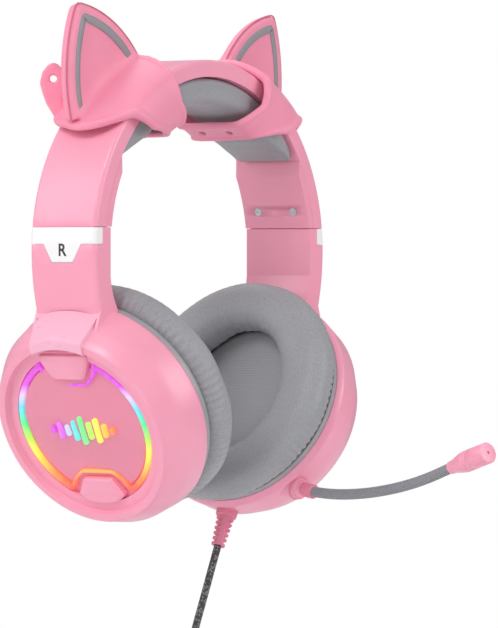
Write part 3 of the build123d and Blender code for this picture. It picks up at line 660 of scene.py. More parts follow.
@dataclass(frozen=True)
class Braid:
    """A braided sleeve over a cord: two sets of strands that cross, with lighter flecks."""

    name: str
    colour: Colour
    fleck: Colour
    around: float = 8.0
    pitch: float = 1.1

    def build(self) -> bpy.types.Material:
        """Makes the material.

        Returns:
            The finish: in the UV map, V counts the cord's diameters along and U goes once round.
        """
        tree = Tree(self.name)
        axes = tree.add("SeparateXYZ", {0: tree.place(uv=True)})
        turn = tree.math("MULTIPLY", axes.outputs[0], self.around)
        run = tree.math("MULTIPLY", axes.outputs[1], self.around / self.pitch / 3.14)
        left = tree.math("ADD", turn, run)
        right = tree.math("SUBTRACT", turn, run)
        one = tree.math("ABSOLUTE", tree.math("SINE", tree.math("MULTIPLY", left, TAU / 2)))
        two = tree.math("ABSOLUTE", tree.math("SINE", tree.math("MULTIPLY", right, TAU / 2)))
        sign = tree.math("SINE", tree.math("MULTIPLY", left, TAU / 2))
        sign = tree.math("MULTIPLY", sign, tree.math("SINE", tree.math("MULTIPLY", right, TAU / 2)))
        top = tree.span(sign, -0.12, 0.12)
        under = tree.math("SUBTRACT", 1.0, top)
        height = tree.math("ADD", tree.math("MULTIPLY", one, top), tree.math("MULTIPLY", two, under))
        cell = tree.add("CombineXYZ", {0: tree.math("FLOOR", left), 1: tree.math("FLOOR", right)})
        draw = tree.add("TexWhiteNoise", {"Vector": cell.outputs[0]}, noise_dimensions="2D")
        flecks = tree.span(draw.outputs["Value"], 0.6, 0.66)
        base = tree.mix(flecks, self.colour, self.fleck)
        # painted shade: the dips between strands are darkened in the colour
        tree.set(Base_Color=tree.mix(tree.span(height, 0.1, 0.75), toned(self.colour, 0.25), base))
        tree.set(Roughness=0.66, Sheen_Weight=0.2, Sheen_Roughness=0.4)
        tree.set(Normal=tree.bump(height, 0.25 * MM))
        return tree.material


@dataclass(frozen=True)
class PolishedMetal:
    """Metal with fine turning lines and faint stains."""

    name: str
    colour: Colour
    roughness: float = 0.18

    def build(self) -> bpy.types.Material:
        """Makes the material.

        Returns:
            The finish: noise drawn out along Y is the brushing.
        """
        tree = Tree(self.name)
        place = tree.place()
        lines = tree.noise(tree.mapped(place, scale=(60.0, 1.0, 60.0)), 90.0, 4.0, 0.7)
        stains = tree.noise(place, 210.0, 3.0)
        tree.set(Base_Color=tree.mix(stains, toned(self.colour, 0.86), self.colour), Metallic=1.0)
        tree.set(Roughness=tree.span(lines, 0.3, 0.7, self.roughness - 0.05, self.roughness + 0.12))
        tree.set(Normal=tree.bump(lines, 0.006 * MM))
        return tree.material


@dataclass(frozen=True)
class RibbedRubber:
    """Plain rubber or soft plastic: matt, with a sanded grain."""

    name: str
    colour: Colour
    roughness: float = 0.6

    def build(self) -> bpy.types.Material:
        """Makes the material.

        Returns:
            The finish: a sanded normal and patchy roughness.
        """
        tree = Tree(self.name)
        place = tree.place()
        sand = tree.noise(place, 3000.0, 3.0)
        patches = tree.noise(place, 70.0, 3.0)
        tree.set(Base_Color=tree.mix(patches, toned(self.colour, 0.88), toned(self.colour, 1.1)))
        tree.set(Roughness=tree.span(patches, 0.3, 0.7, self.roughness - 0.07, self.roughness + 0.08))
        tree.set(Normal=tree.bump(sand, 0.03 * MM))
        return tree.material


@dataclass(frozen=True)
class CircuitBoard:
    """A lacquered board with copper tracks under it."""

    name: str
    colour: Colour

    def build(self) -> bpy.types.Material:
        """Makes the material.

        Returns:
            The finish: thin lines of cells are the tracks.
        """
        tree = Tree(self.name)
        place = tree.place()
        tracks = tree.span(tree.cells(place, 330.0, "DISTANCE_TO_EDGE"), 0.05, 0.09)
        tree.set(Base_Color=tree.mix(tracks, toned(self.colour, 1.7), self.colour))
        tree.set(Roughness=0.35, Coat_Weight=0.4, Normal=tree.bump(tracks, 0.03 * MM))
        return tree.material


@dataclass(frozen=True)
class LitPlastic:
    """Milky plastic lit from behind in a run of colours along U of the UV map."""

    name: str
    stops: tuple
    power: float = 1.0

    def build(self) -> bpy.types.Material:
        """Makes the material.

        Returns:
            The finish: a colour ramp glows through a milky surface.
        """
        tree = Tree(self.name)
        axes = tree.add("SeparateXYZ", {0: tree.place(uv=True)})
        colour = tree.ramp(axes.outputs[0], list(self.stops))
        cloud = tree.noise(tree.place(), 260.0, 2.0)
        tree.set(Base_Color=tree.mix(0.6, colour, (0.1, 0.1, 0.1)))
        tree.set(Emission_Color=tree.mix(tree.span(cloud, 0.3, 0.7, 0.0, 0.1), colour, (1.0, 1.0, 1.0)))
        tree.set(Emission_Strength=self.power, Roughness=0.3, Coat_Weight=0.3)
        tree.set(Normal=tree.bump(cloud, 0.02 * MM))
        return tree.material


@dataclass(frozen=True)
class StudioPaper:
    """The pale matt paper of the floor."""

    name: str = "studio_paper"
    colour: Colour = (0.86, 0.86, 0.87)

    def build(self) -> bpy.types.Material:
        """Makes the material."""
        tree = Tree(self.name)
        fibres = tree.noise(tree.place(), 900.0, 3.0)
        tree.set(Base_Color=self.colour, Roughness=0.9, Normal=tree.bump(fibres, 0.02 * MM))
        return tree.material


class Finishes:
    """Every finish of the headset, built once and given out by name."""

    def __init__(self) -> None:
        """Builds the materials."""
        rainbow = (
            (0.0, (0.9, 0.02, 0.02)),
            (0.12, (1.0, 0.26, 0.02)),
            (0.28, (1.0, 0.78, 0.04)),
            (0.4, (0.45, 0.95, 0.06)),
            (0.52, (0.05, 0.85, 0.25)),
            (0.64, (0.08, 0.66, 0.9)),
            (0.73, (0.7, 0.55, 0.9)),
            (0.81, (0.66, 0.03, 0.7)),
            (1.0, (0.6, 0.0, 0.55)),
        )
        made = [
            MouldedPlastic("pink_shell", paint(250, 162, 188)),
            # deeper pink for the face panels: partly their own deeper tone, partly painted shade for faces
            # that tilt down away from the lamps
            MouldedPlastic("pink_face", paint(236, 140, 166)),
            MouldedPlastic("pink_inner", paint(246, 158, 184), roughness=0.42),
            MouldedPlastic("white_plate", paint(250, 248, 249), roughness=0.2, coat=0.5, clouds=0.01),
            # paler copy of the shell pink for the arm covers: painted light for the brightness on their
            # upward faces
            MouldedPlastic("light_cover", paint(251, 184, 208), roughness=0.3),
            MouldedPlastic("light_grey", paint(158, 159, 163), roughness=0.4),
            MouldedPlastic("grey_plastic", paint(96, 98, 102), roughness=0.45),
            MouldedPlastic("dark_plastic", paint(46, 47, 51), roughness=0.42),
            Silicone("pink_silicone", paint(248, 152, 180)),
            Silicone("grey_silicone", paint(150, 148, 153)),
            RibbedRubber("pink_rubber", paint(236, 138, 164)),
            # darker pink for the ears' parting line: painted shade for the groove along their front edge
            RibbedRubber("seam_pink", paint(214, 116, 142)),
            Leather("grey_leather", paint(164, 165, 170)),
            WovenCloth("grey_cloth", paint(184, 185, 190)),
            Braid("braided_cable", paint(84, 84, 88), paint(150, 149, 150)),
            Braid("grey_cord", paint(70, 70, 74), paint(120, 120, 122), around=6.0),
            RibbedRubber("gooseneck", paint(144, 144, 150), roughness=0.4),
            PolishedMetal("bright_screw", (0.78, 0.78, 0.8)),
            PolishedMetal("spring_steel", (0.55, 0.56, 0.58), roughness=0.3),
            PolishedMetal("gold_pin", (0.9, 0.68, 0.32), roughness=0.15),
            CircuitBoard("circuit_board", paint(28, 92, 58)),
            LitPlastic("light_ring", rainbow, power=0.82),
            StudioPaper(),
        ]
        self.all = {finish.name: finish.build() for finish in made}

    def dress(self, piece: bpy.types.Object, name: str) -> bpy.types.Object:
        """Puts a finish on every slot of a piece.

        Args:
            piece: the object.
            name: the finish.

        Returns:
            The same object.
        """
        if not piece.material_slots:
            piece.data.materials.append(self.all[name])
        for index in range(len(piece.material_slots)):
            piece.material_slots[index].material = self.all[name]
        return piece


# ---------------------------------------------------------------------------
# camera, light and floor
# ---------------------------------------------------------------------------


def standing(side: np.ndarray, top: np.ndarray, back: np.ndarray, spot: np.ndarray) -> Matrix:
    """The place of a lamp or camera from its three axes and its spot."""
    rows = np.stack([side, top, back, spot], axis=-1)
    return Matrix([[float(c) for c in row] for row in rows] + [[0.0, 0.0, 0.0, 1.0]])


@dataclass
class Studio:
    """The camera, five soft lamps, the pale surroundings and the floor."""

    azimuth: float = 52.67
    distance: float = 2.341
    eye_height: float = -71.0 * MM
    lens: float = 283.2
    aim_right: float = 0.79
    aim_down: float = 0.66
    floor_drop: float = 30.0 * MM
    floor_reach: float = 1.5
    light_above: float = 0.7
    light_below: float = 0.06

    def camera(self) -> bpy.types.Object:
        """Makes the camera at the wearer's front right, looking level and a little off the middle."""
        turn = math.radians(self.azimuth)
        ahead = np.array([math.sin(turn), math.cos(turn), 0.0])
        right = np.array([math.cos(turn), -math.sin(turn), 0.0])
        up = np.array([0.0, 0.0, 1.0])
        data = bpy.data.cameras.new("camera")
        data.lens = self.lens
        data.sensor_width = 36.0
        data.clip_start = 0.05
        data.clip_end = 50.0
        sideways = math.tan(math.radians(self.aim_right)) * right
        view = ahead + sideways - math.tan(math.radians(self.aim_down)) * up
        view /= np.linalg.norm(view)
        side = np.cross(view, up)
        side /= np.linalg.norm(side)
        top = np.cross(side, view)
        camera = bpy.data.objects.new("camera", data)
        spot = -self.distance * ahead + self.eye_height * up
        camera.matrix_world = standing(side, top, -view, spot)
        bpy.context.scene.collection.objects.link(camera)
        bpy.context.scene.camera = camera
        return camera

    def lamp(self, name: str, azimuth: float, height: float, reach: float, size: float, power: float) -> None:
        """Makes a soft square lamp that points at the headset.

        Args:
            name: the lamp's name.
            azimuth: where it stands, counted as the camera's azimuth is.
            height: its height in metres.
            reach: its level distance in metres.
            size: its side in metres.
            power: its power in watts.
        """
        turn = math.radians(azimuth)
        spot = np.array([-reach * math.sin(turn), -reach * math.cos(turn), height])
        back = spot - np.array([0.0, 0.0, -0.12])
        back /= np.linalg.norm(back)
        side = np.cross((0.0, 0.0, 1.0), back)
        side /= np.linalg.norm(side)
        top = np.cross(back, side)
        data = bpy.data.lights.new(name, "AREA")
        data.shape = "SQUARE"
        data.size = size
        data.energy = power
        lamp = bpy.data.objects.new(name, data)
        lamp.matrix_world = standing(side, top, back, spot)
        bpy.context.scene.collection.objects.link(lamp)

    def lights(self) -> None:
        """Sets the lamps and the surroundings."""
        self.lamp("key", self.azimuth + 30.0, 1.1, 1.4, 0.55, 10.0)
        self.lamp("fill", self.azimuth - 72.0, 0.4, 1.35, 0.7, 6.0)
        self.lamp("front", self.azimuth - 4.0, -0.15, 2.0, 0.7, 4.0)
        self.lamp("sheen", self.azimuth + 72.0, 0.55, 1.5, 0.9, 6.5)
        self.lamp("top", self.azimuth + 150.0, 1.6, 0.9, 1.0, 9.0)
        bpy.context.scene.world = self.surroundings()
        bpy.context.scene.view_settings.view_transform = "Standard"

    def surroundings(self) -> bpy.types.World:
        """Pale surroundings, white where they are seen, and softer overhead than below as light.

        Returns:
            The world.
        """
        world = bpy.data.worlds.new("studio")
        world.use_nodes = True
        nodes, links = world.node_tree.nodes, world.node_tree.links
        seen = nodes["Background"]
        seen.inputs["Color"].default_value = (1.0, 1.0, 1.0, 1.0)
        light = nodes.new("ShaderNodeBackground")
        axes = nodes.new("ShaderNodeSeparateXYZ")
        links.new(nodes.new("ShaderNodeTexCoord").outputs["Generated"], axes.inputs[0])
        rise = nodes.new("ShaderNodeMapRange")
        for index, value in enumerate((-1.0, 1.0, self.light_below, self.light_above), start=1):
            rise.inputs[index].default_value = value
        links.new(axes.outputs["Z"], rise.inputs["Value"])
        links.new(rise.outputs["Result"], light.inputs["Strength"])
        mix = nodes.new("ShaderNodeMixShader")
        links.new(nodes.new("ShaderNodeLightPath").outputs["Is Camera Ray"], mix.inputs[0])
        links.new(light.outputs[0], mix.inputs[1])
        links.new(seen.outputs[0], mix.inputs[2])
        links.new(mix.outputs[0], nodes["World Output"].inputs["Surface"])
        return world

    def floor(self, low: float, finishes: Finishes) -> None:
        """Makes the floor: a plain square below the headset.

        Args:
            low: the headset's lowest height.
            finishes: the finishes.
        """
        run = np.linspace(-self.floor_reach, self.floor_reach, 9)
        x, y = np.meshgrid(run, run, indexing="ij")
        sheet = grid_mesh("floor", np.stack([x, y, np.full_like(x, low - self.floor_drop)], axis=-1))
        finishes.dress(sheet, "studio_paper")
        sheet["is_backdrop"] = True


# ---------------------------------------------------------------------------
# places
# ---------------------------------------------------------------------------


@dataclass(frozen=True)
class BandPlace:
    """Places by the headband's own measures: radius, angle from the crown, and depth to the back."""

    centre: float = -68.0 * MM

    def at(self, radius, degrees, back, side: Side = Side.LEFT) -> np.ndarray:
        """Points of the band: x = r sin a, z = centre + r cos a, with x towards the given side.

        Args:
            radius: distance from the band's axis, in metres.
            degrees: angle down from the crown.
            back: place along Y.
            side: which side the angle runs to.

        Returns:
            An array with a last axis of three.
        """
        radius, turn, back = np.broadcast_arrays(radius, np.radians(degrees), back)
        x = side.value * radius * np.sin(turn)
        return np.stack([x, back, self.centre + radius * np.cos(turn)], axis=-1)


@dataclass(frozen=True)
class CupPlace:
    """Places by a cup's own measures: height up its face, place to the back, and depth outwards."""

    side: Side
    tilt: float = math.radians(24.8)
    centre_x: float = 51.8 * MM
    centre_z: float = -140.5 * MM

    def at(self, up, back, depth) -> np.ndarray:
        """Points of the cup: its centre plus each measure along its own axis.

        Args:
            up: height up the cup's face, in metres.
            back: place along Y.
            depth: distance out along the cup's axis from the pad's seat.

        Returns:
            An array with a last axis of three.
        """
        up, back, depth = np.broadcast_arrays(up, back, depth)
        x = self.centre_x + depth * math.cos(self.tilt) + up * math.sin(self.tilt)
        z = self.centre_z - depth * math.sin(self.tilt) + up * math.cos(self.tilt)
        return np.stack([self.side.value * x, back, z], axis=-1)

    def round(self, radius, turn, depth) -> np.ndarray:
        """Points by radius and angle about the cup's axis, with 0 at the top and a quarter to the front."""
        return self.at(radius * np.cos(turn), -radius * np.sin(turn), depth)


# ---------------------------------------------------------------------------
# soft parts
# ---------------------------------------------------------------------------


@dataclass
class EarPad:
    """A puffy leather ring that swells between its two seams and puckers at the outer one."""

    side: Side
    outer: float = 55.6 * MM
    opening_up: float = 33.0 * MM
    opening_back: float = 30.0 * MM
    seat: float = -3.2 * MM
    thickness: float = 18.6 * MM
    roundness: float = 2.5
    pucker: float = 0.55 * MM
    puckers: int = 88

    def build(self, finishes: Finishes) -> bpy.types.Object:
        """Makes the pad.

        The section is a superellipse, x and y the 2/n powers of a cosine and a sine, carried round the
        opening. Sine waves of uneven length lift its outer edge, and a slow wave its face.

        Args:
            finishes: the finishes.

        Returns:
            The pad, riding on its cup.
        """
        around = np.linspace(0.0, TAU, 620, endpoint=False)[:, None]
        across = np.linspace(0.0, TAU, 72, endpoint=False)[None, :]
        squares = (np.cos(around) / self.opening_up) ** 2 + (np.sin(around) / self.opening_back) ** 2
        inner = 1.0 / np.sqrt(squares)
        half = (self.outer - inner) / 2
        c, s = np.cos(across), np.sin(across)
        reach = np.sign(c) * np.abs(c) ** (2 / self.roundness)
        rise = np.sign(s) * np.abs(s) ** (2 / self.roundness)
        wave = around * self.puckers + 3.0 * soft_noise(around * 1.3, 0.0 * around, 5)
        upper = 0.45 + 0.8 * np.clip(s, -0.4, 1.0)
        uneven = 0.7 + 0.3 * soft_noise(around * 3.1, 0.0 * around, 7)
        edge = np.clip(c, 0.0, 1.0) ** 1.5 * upper * uneven
        inner_edge = np.clip(-c, 0.0, 1.0) ** 3
        slow = soft_noise(around * 2.2, across * 0.5, 9)
        swell = self.pucker * np.sin(wave) * edge + 0.5 * self.pucker * np.sin(wave * 0.5) * inner_edge
        swell = swell + 0.22 * MM * slow
        seam = np.exp(-(((across - math.radians(118.0)) / 0.055) ** 2))
        swell = swell - 0.55 * MM * seam
        radius = (self.outer + inner) / 2 + (half + swell) * reach
        depth = self.seat - self.thickness / 2 + (self.thickness / 2 + swell) * rise
        depth = np.minimum(depth, self.seat)
        pad = grid_mesh(f"pad_{self.side.word}", CupPlace(self.side).round(radius, around, depth), Wrap.BOTH)
        finishes.dress(pad, "grey_leather")
        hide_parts(f"ear_pad_{self.side.word}")
        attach(pad, self.side.body)
        return pad


@dataclass
class SpeakerCloth:
    """The woven cloth inside an ear pad, slightly domed by the speaker behind it."""

    side: Side
    radius: float = 36.0 * MM
    seat: float = -2.5 * MM
    dome: float = 0.5 * MM

    def build(self, finishes: Finishes) -> bpy.types.Object:
        """Makes the cloth: a disc whose middle is raised by a cosine, as thin as cloth.

        Args:
            finishes: the finishes.

        Returns:
            The cloth, riding on its cup.
        """
        ring = np.linspace(0.04, 1.0, 24)[None, :]
        turn = np.linspace(0.0, TAU, 96, endpoint=False)[:, None]
        front = self.seat - self.dome * np.cos(ring * TAU / 4) - 0.1 * MM
        top = CupPlace(self.side).round(self.radius * ring, turn, front)
        under = CupPlace(self.side).round(self.radius * ring, turn, front + 0.4 * MM)
        points = np.concatenate([top, under[:, ::-1]], axis=1)
        cloth = grid_mesh(f"cloth_{self.side.word}", points, Wrap.FIRST, ends=True)
        self.lay_threads(cloth)
        finishes.dress(cloth, "grey_cloth")
        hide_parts(f"speaker_cloth_{self.side.word}")
        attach(cloth, self.side.body)
        return cloth

    def lay_threads(self, cloth: bpy.types.Object) -> None:
        """Gives the cloth a flat UV map across the cup, so that its threads run straight."""
        mesh = cloth.data
        read = np.empty(len(mesh.vertices) * 3, np.float32)
        mesh.vertices.foreach_get("co", read)
        corner = np.empty(len(mesh.loops), np.int32)
        mesh.loops.foreach_get("vertex_index", corner)
        place = read.reshape(-1, 3)[corner]
        flat = np.stack([place[:, 1], place[:, 2]], axis=-1) / (2 * self.radius)
        mesh.uv_layers[0].data.foreach_set("uv", flat.reshape(-1).astype(np.float32))


@dataclass
class BandCushion:
    """The padded leather cushion under the headband, fuller in its middle, with a seam along each edge."""

    top: float = 81.7 * MM
    bottom: float = 68.0 * MM
    half_width: float = 17.6 * MM
    end: float = 57.0
    thinning: float = 39.0
    end_thickness: float = 3.4 * MM

    def build(self, finishes: Finishes) -> bpy.types.Object:
        """Makes the cushion.

        The section is a superellipse, square against the band and rounder towards the head, carried round
        the band and thinned towards both ends; a narrow groove on each side is the seam.

        Args:
            finishes: the finishes.

        Returns:
            The cushion, riding on the headband.
        """
        along = np.linspace(-1.0, 1.0, 260)[None, :]
        around = np.linspace(0.0, TAU, 88, endpoint=False)[:, None]
        c, s = np.cos(around), np.sin(around)
        power = np.where(s > 0.0, 2.0 / 7.0, 2.0 / 3.0)
        x = np.sign(c) * np.abs(c) ** power
        y = np.sign(s) * np.abs(s) ** power
        ends = np.clip(1.0 - np.abs(along) ** 34, 0.0, 1.0) ** 0.5
        beyond = (np.abs(along) * self.end - self.thinning) / (self.end - self.thinning)
        thin = np.clip(beyond, 0.0, 1.0) ** 1.35
        full = self.top - self.bottom
        half = (full + (self.end_thickness - full) * thin) / 2
        middle = self.top - half
        wrinkle = 0.16 * MM * soft_noise(along * 9.0, around * 0.8, 3) * np.clip(-y, 0.0, 1.0)
        seam = np.exp(-(((np.abs(x) - 1.0) / 0.01) ** 2)) * np.exp(-(((y - 0.45) / 0.1) ** 2))
        radius = middle + (half * (0.25 + 0.75 * ends) - 0.4 * MM * seam) * y + wrinkle
        reach = (self.half_width * (0.8 + 0.2 * ends) * (1.0 - 0.06 * thin) - 0.5 * MM * seam) * x
        points = BandPlace().at(radius, along * self.end, reach)
        cushion = grid_mesh("cushion", points, Wrap.FIRST, ends=True)
        finishes.dress(cushion, "grey_leather")
        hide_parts("band_cushion")
        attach(cushion, "headband")
        return cushion


# ---------------------------------------------------------------------------
# ears
# ---------------------------------------------------------------------------


@dataclass
class CatEar:
    """A soft ear on its sleeve: a domed band round the headband, a dished leaf, a tab and a V inlay."""

    side: Side
    upper_rim: tuple = (19.2, 25.4, 24.6, 20.2)
    lower_rim: tuple = (31.5, 42.5, 46.0, 54.0)
    bead: float = 0.9 * MM
    crown: float = 97.0 * MM
    shoulder: float = 90.8 * MM
    half_width: float = 23.5 * MM
    bulge: float = 25.5 * MM
    bulge_radius: float = 76.8 * MM
    strap: float = 62.5 * MM
    foot: float = 17.0 * MM
    wall: float = 2.4 * MM
    tip: tuple = (137.9 * MM, 33.9)
    tip_reach: int = 9
    tab_base: tuple = ((-9.5, -10), (-2.5, -10), (3.2, -1))
    tab_head: tuple = ((5.0, 4), (6.4, 9), (5.2, 14.2), (2.4, 17.6), (0, 18.8))
    tab_heel: tuple = (-4.2, -1)
    tab_hole: float = 1.7 * MM
    tab_hole_rise: float = 11.0 * MM
    seam_out: float = 0.12 * MM
    seam_forward: float = 0.27
    seam_radius: float = 0.4 * MM
    strap_hole_reach: tuple = (59.0 * MM, 68.0 * MM)
    strap_hole_angle: float = 26.0
    strap_hole_back: float = 8.0 * MM
    inlay_inset: float = 6.2 * MM
    inlay_section: tuple = ((-1.0, 0.5), (-1.0, -0.35), (-0.8, -0.62), (0.8, -0.62), (1.0, -0.35), (1.0, 0.5))
    inner_foot: tuple = (96.0 * MM, 20.4)
    outer_foot: tuple = (99.4 * MM, 53.6)
    bow_inner: float = 5.5 * MM
    bow_outer: float = 5.0 * MM
    thickness: float = 5.8 * MM
    dish: float = 1.0 * MM
    back_inner: float = 0.6 * MM
    back_outer: float = 3.8 * MM
    voxel: float = 0.7 * MM

    def section(self, inset: float, count: int) -> np.ndarray:
        """The sleeve's section: four arcs and the strap's flat, with softened corners, set in by an inset.

        Args:
            inset: how far inside the outer face, in metres.
            count: points round it.

        Returns:
            An array (count, 2) of place to the back and radius.
        """
        crown = (0.0, self.crown - inset)
        front = (-self.half_width + inset, self.shoulder - inset)
        back = (self.half_width - inset, self.shoulder - inset)
        foot_front = (-self.foot + inset / 2, self.strap + inset)
        foot_back = (self.foot - inset / 2, self.strap + inset)
        parts = [
            arc_through(front, crown, back, 80)[:-1],
            arc_through(back, (self.bulge - inset, self.bulge_radius), foot_back, 60)[:-1],
            np.linspace(foot_back, foot_front, 60)[:-1],
            arc_through(foot_front, (-self.bulge + inset, self.bulge_radius), front, 60)[:-1],
        ]
        line = evenly(np.concatenate(parts), count, closed=True)
        soft = np.exp(-0.5 * (np.arange(-6, 7) / 2.4) ** 2)
        soft /= soft.sum()
        wrapped = np.concatenate([line[-6:], line, line[:6]])
        return np.stack([np.convolve(wrapped[:, k], soft, mode="valid") for k in range(2)], axis=-1)

    def rims(self, line: np.ndarray) -> tuple[np.ndarray, np.ndarray]:
        """The angles at which the sleeve starts and ends, for each point of its section."""
        share = np.clip((line[:, 1] - self.strap) / (self.crown - self.strap), 0.0, 1.0)
        heights = (self.strap, self.bulge_radius, self.shoulder, self.crown)
        first = np.interp(line[:, 1], heights, self.upper_rim)
        last = np.interp(line[:, 1], heights, self.lower_rim)
        last = last + 1.5 * np.exp(-(((line[:, 0] - 19.0 * MM) / (5.0 * MM)) ** 2)) * share
        return first, last

    def sleeve(self) -> bpy.types.Object:
        """The sleeve: its section swept about the band's axis between two wavy rims, out and back in."""
        count = 200
        outer, inner = self.section(0.0, count), self.section(self.wall, count)
        first, last = self.rims(outer)
        run = np.linspace(0.0, 1.0, 90)
        lip = np.linspace(0.0, TAU / 2, 9)[1:-1]
        out = (outer - inner) / np.linalg.norm(outer - inner, axis=1, keepdims=True)
        place = BandPlace()
        layers = []
        for t in run:
            turn = first + (last - first) * t
            nearer = np.minimum(turn - first, last - turn)[:, None]
            face = outer + self.bead * (0.5 - 0.5 * np.tanh((nearer - 1.7) / 0.2)) * out
            layers.append(place.at(face[:, 1], turn, face[:, 0], self.side))
        middle, half = (outer + inner) / 2, (outer - inner) / 2
        for a in lip:
            spot = middle + half * math.cos(a)
            turn = last + np.degrees(self.wall / 2 * math.sin(a) / spot[:, 1])
            layers.append(place.at(spot[:, 1], turn, spot[:, 0], self.side))
        for t in run[::-1]:
            layers.append(place.at(inner[:, 1], first + (last - first) * t, inner[:, 0], self.side))
        for a in lip:
            spot = middle - half * math.cos(a)
            turn = first - np.degrees(self.wall / 2 * math.sin(a) / spot[:, 1])
            layers.append(place.at(spot[:, 1], turn, spot[:, 0], self.side))
        return grid_mesh("sleeve", np.stack(layers, axis=1), Wrap.BOTH)

    def outline(self, shrink: float, count: int) -> np.ndarray:
        """The ear's outline from its inner foot over the tip to its outer foot: two bowed arcs.

        Args:
            shrink: how far its points draw in towards its middle, in metres.
            count: points along it.

        Returns:
            An array (count, 2) of x and z, as on the left.
        """
        corners = []
        for radius, degrees in (self.inner_foot, self.tip, self.outer_foot):
            corners.append(BandPlace().at(radius, degrees, 0.0)[[0, 2]])
        inner, tip, outer = corners
        centre = (inner + tip + outer) / 3
        inner = inner + (centre - inner) / np.linalg.norm(centre - inner) * shrink * 1.4
        tip = tip + (centre - tip) / np.linalg.norm(centre - tip) * shrink * 1.7
        outer = outer + (centre - outer) / np.linalg.norm(centre - outer) * shrink * 1.4
        way = (tip - inner) / np.linalg.norm(tip - inner)
        bow = (tip + inner) / 2 + np.array([-way[1], way[0]]) * self.bow_inner
        up = arc_through(tuple(inner), tuple(bow), tuple(tip), 60)
        way = (tip - outer) / np.linalg.norm(tip - outer)
        bow = (tip + outer) / 2 + np.array([way[1], -way[0]]) * self.bow_outer
        down = arc_through(tuple(tip), tuple(bow), tuple(outer), 60)
        return evenly(np.concatenate([up[:-1], down]), count)

    def soft_outline(self, shrink: float, count: int) -> np.ndarray:
        """The outline with its tip rounded off by a running mean."""
        weight = np.exp(-0.5 * (3.0 * np.arange(-self.tip_reach, self.tip_reach + 1) / self.tip_reach) ** 2)
        weight /= weight.sum()
        edge = np.pad(self.outline(shrink, count), ((self.tip_reach, self.tip_reach), (0, 0)), mode="edge")
        return np.stack([np.convolve(edge[:, k], weight, mode="valid") for k in range(2)], axis=-1)

    def inset_line(self, inset: float, count: int) -> np.ndarray:
        """A line at a constant distance inside the outline, with one sharp turn under the tip.

        Args:
            inset: the distance, in metres.
            count: points along it.

        Returns:
            An array (count, 2) of x and z, as on the left.
        """
        edge = self.outline(0.0, 400)
        peak = int(np.argmax(np.hypot(edge[:, 0], edge[:, 1] - BandPlace().centre)))
        legs = []
        for leg in (edge[: peak + 1], edge[peak:]):
            way = np.gradient(leg, axis=0)
            way /= np.linalg.norm(way, axis=1, keepdims=True)
            legs.append(leg + inset * np.stack([way[:, 1], -way[:, 0]], axis=-1))
        gap = np.linalg.norm(legs[0][:, None] - legs[1][None], axis=-1)
        last, first = np.unravel_index(np.argmin(gap), gap.shape)
        return evenly(np.concatenate([legs[0][: last + 1], legs[1][first + 1:]]), count)

    def root(self) -> np.ndarray:
        """The middle of the ear's foot, inside the sleeve."""
        return BandPlace().at(88.0 * MM, 33.0, 0.0)[[0, 2]]

    def leaf(self) -> bpy.types.Object:
        """The ear's leaf: sheets drawn from its outline to its root, in front dished and behind rounded."""
        count = 170
        edge = self.soft_outline(0.0, count)
        root = self.root()
        share = np.concatenate([np.linspace(0.0, 0.2, 26), np.linspace(0.2, 1.0, 46)[1:]])
        flat = edge[:, None, :] + (root - edge)[:, None, :] * share[None, :, None]
        reach = np.linalg.norm(root - edge, axis=1)[:, None] * share[None, :]
        rounded = np.sqrt(np.clip(1.0 - (1.0 - np.clip(reach / (2.2 * MM), 0.0, 1.0)) ** 2, 0.0, 1.0))
        sunk = self.dish * 0.5 * (1.0 + np.tanh((reach - 12.0 * MM) / (4.0 * MM)))
        height = np.hypot(flat[..., 0], flat[..., 1] - BandPlace().centre) - self.crown
        flare = 2.6 * MM * np.exp(-np.clip(height + 1.0 * MM, 0.0, 1.0) / (2.2 * MM))
        belly = 1.6 * MM * np.clip(reach / (14.0 * MM), 0.0, 1.0)
        front = self.set_back(flat[..., 0]) - (self.thickness / 2 * rounded - sunk + flare)
        behind = self.set_back(flat[..., 0]) + self.thickness / 2 * rounded + belly + flare
        rise = np.stack([flat[..., 0] * self.side.value, front, flat[..., 1]], axis=-1)
        fall = np.stack([flat[..., 0] * self.side.value, behind, flat[..., 1]], axis=-1)
        points = np.concatenate([rise[:, ::-1], fall[:, 1:]], axis=1)
        return self.closed_leaf(points)

    def set_back(self, x: np.ndarray) -> np.ndarray:
        """How far back the leaf stands: it turns a little outwards, so its outer edge is further back."""
        feet = (self.inner_foot, self.outer_foot)
        ends = [BandPlace().at(radius, degrees, 0.0)[0] for radius, degrees in feet]
        return self.back_inner + (self.back_outer - self.back_inner) * (x - ends[0]) / (ends[1] - ends[0])

    def closed_leaf(self, points: np.ndarray) -> bpy.types.Object:
        """Closes the leaf's two open ends, which lie inside the sleeve, with a row at their middle."""
        middle = points.mean(axis=1, keepdims=True)
        first = np.repeat(middle[:1], points.shape[1], axis=1)
        last = np.repeat(middle[-1:], points.shape[1], axis=1)
        return grid_mesh("leaf", np.concatenate([first, points, last], axis=0), Wrap.NONE)

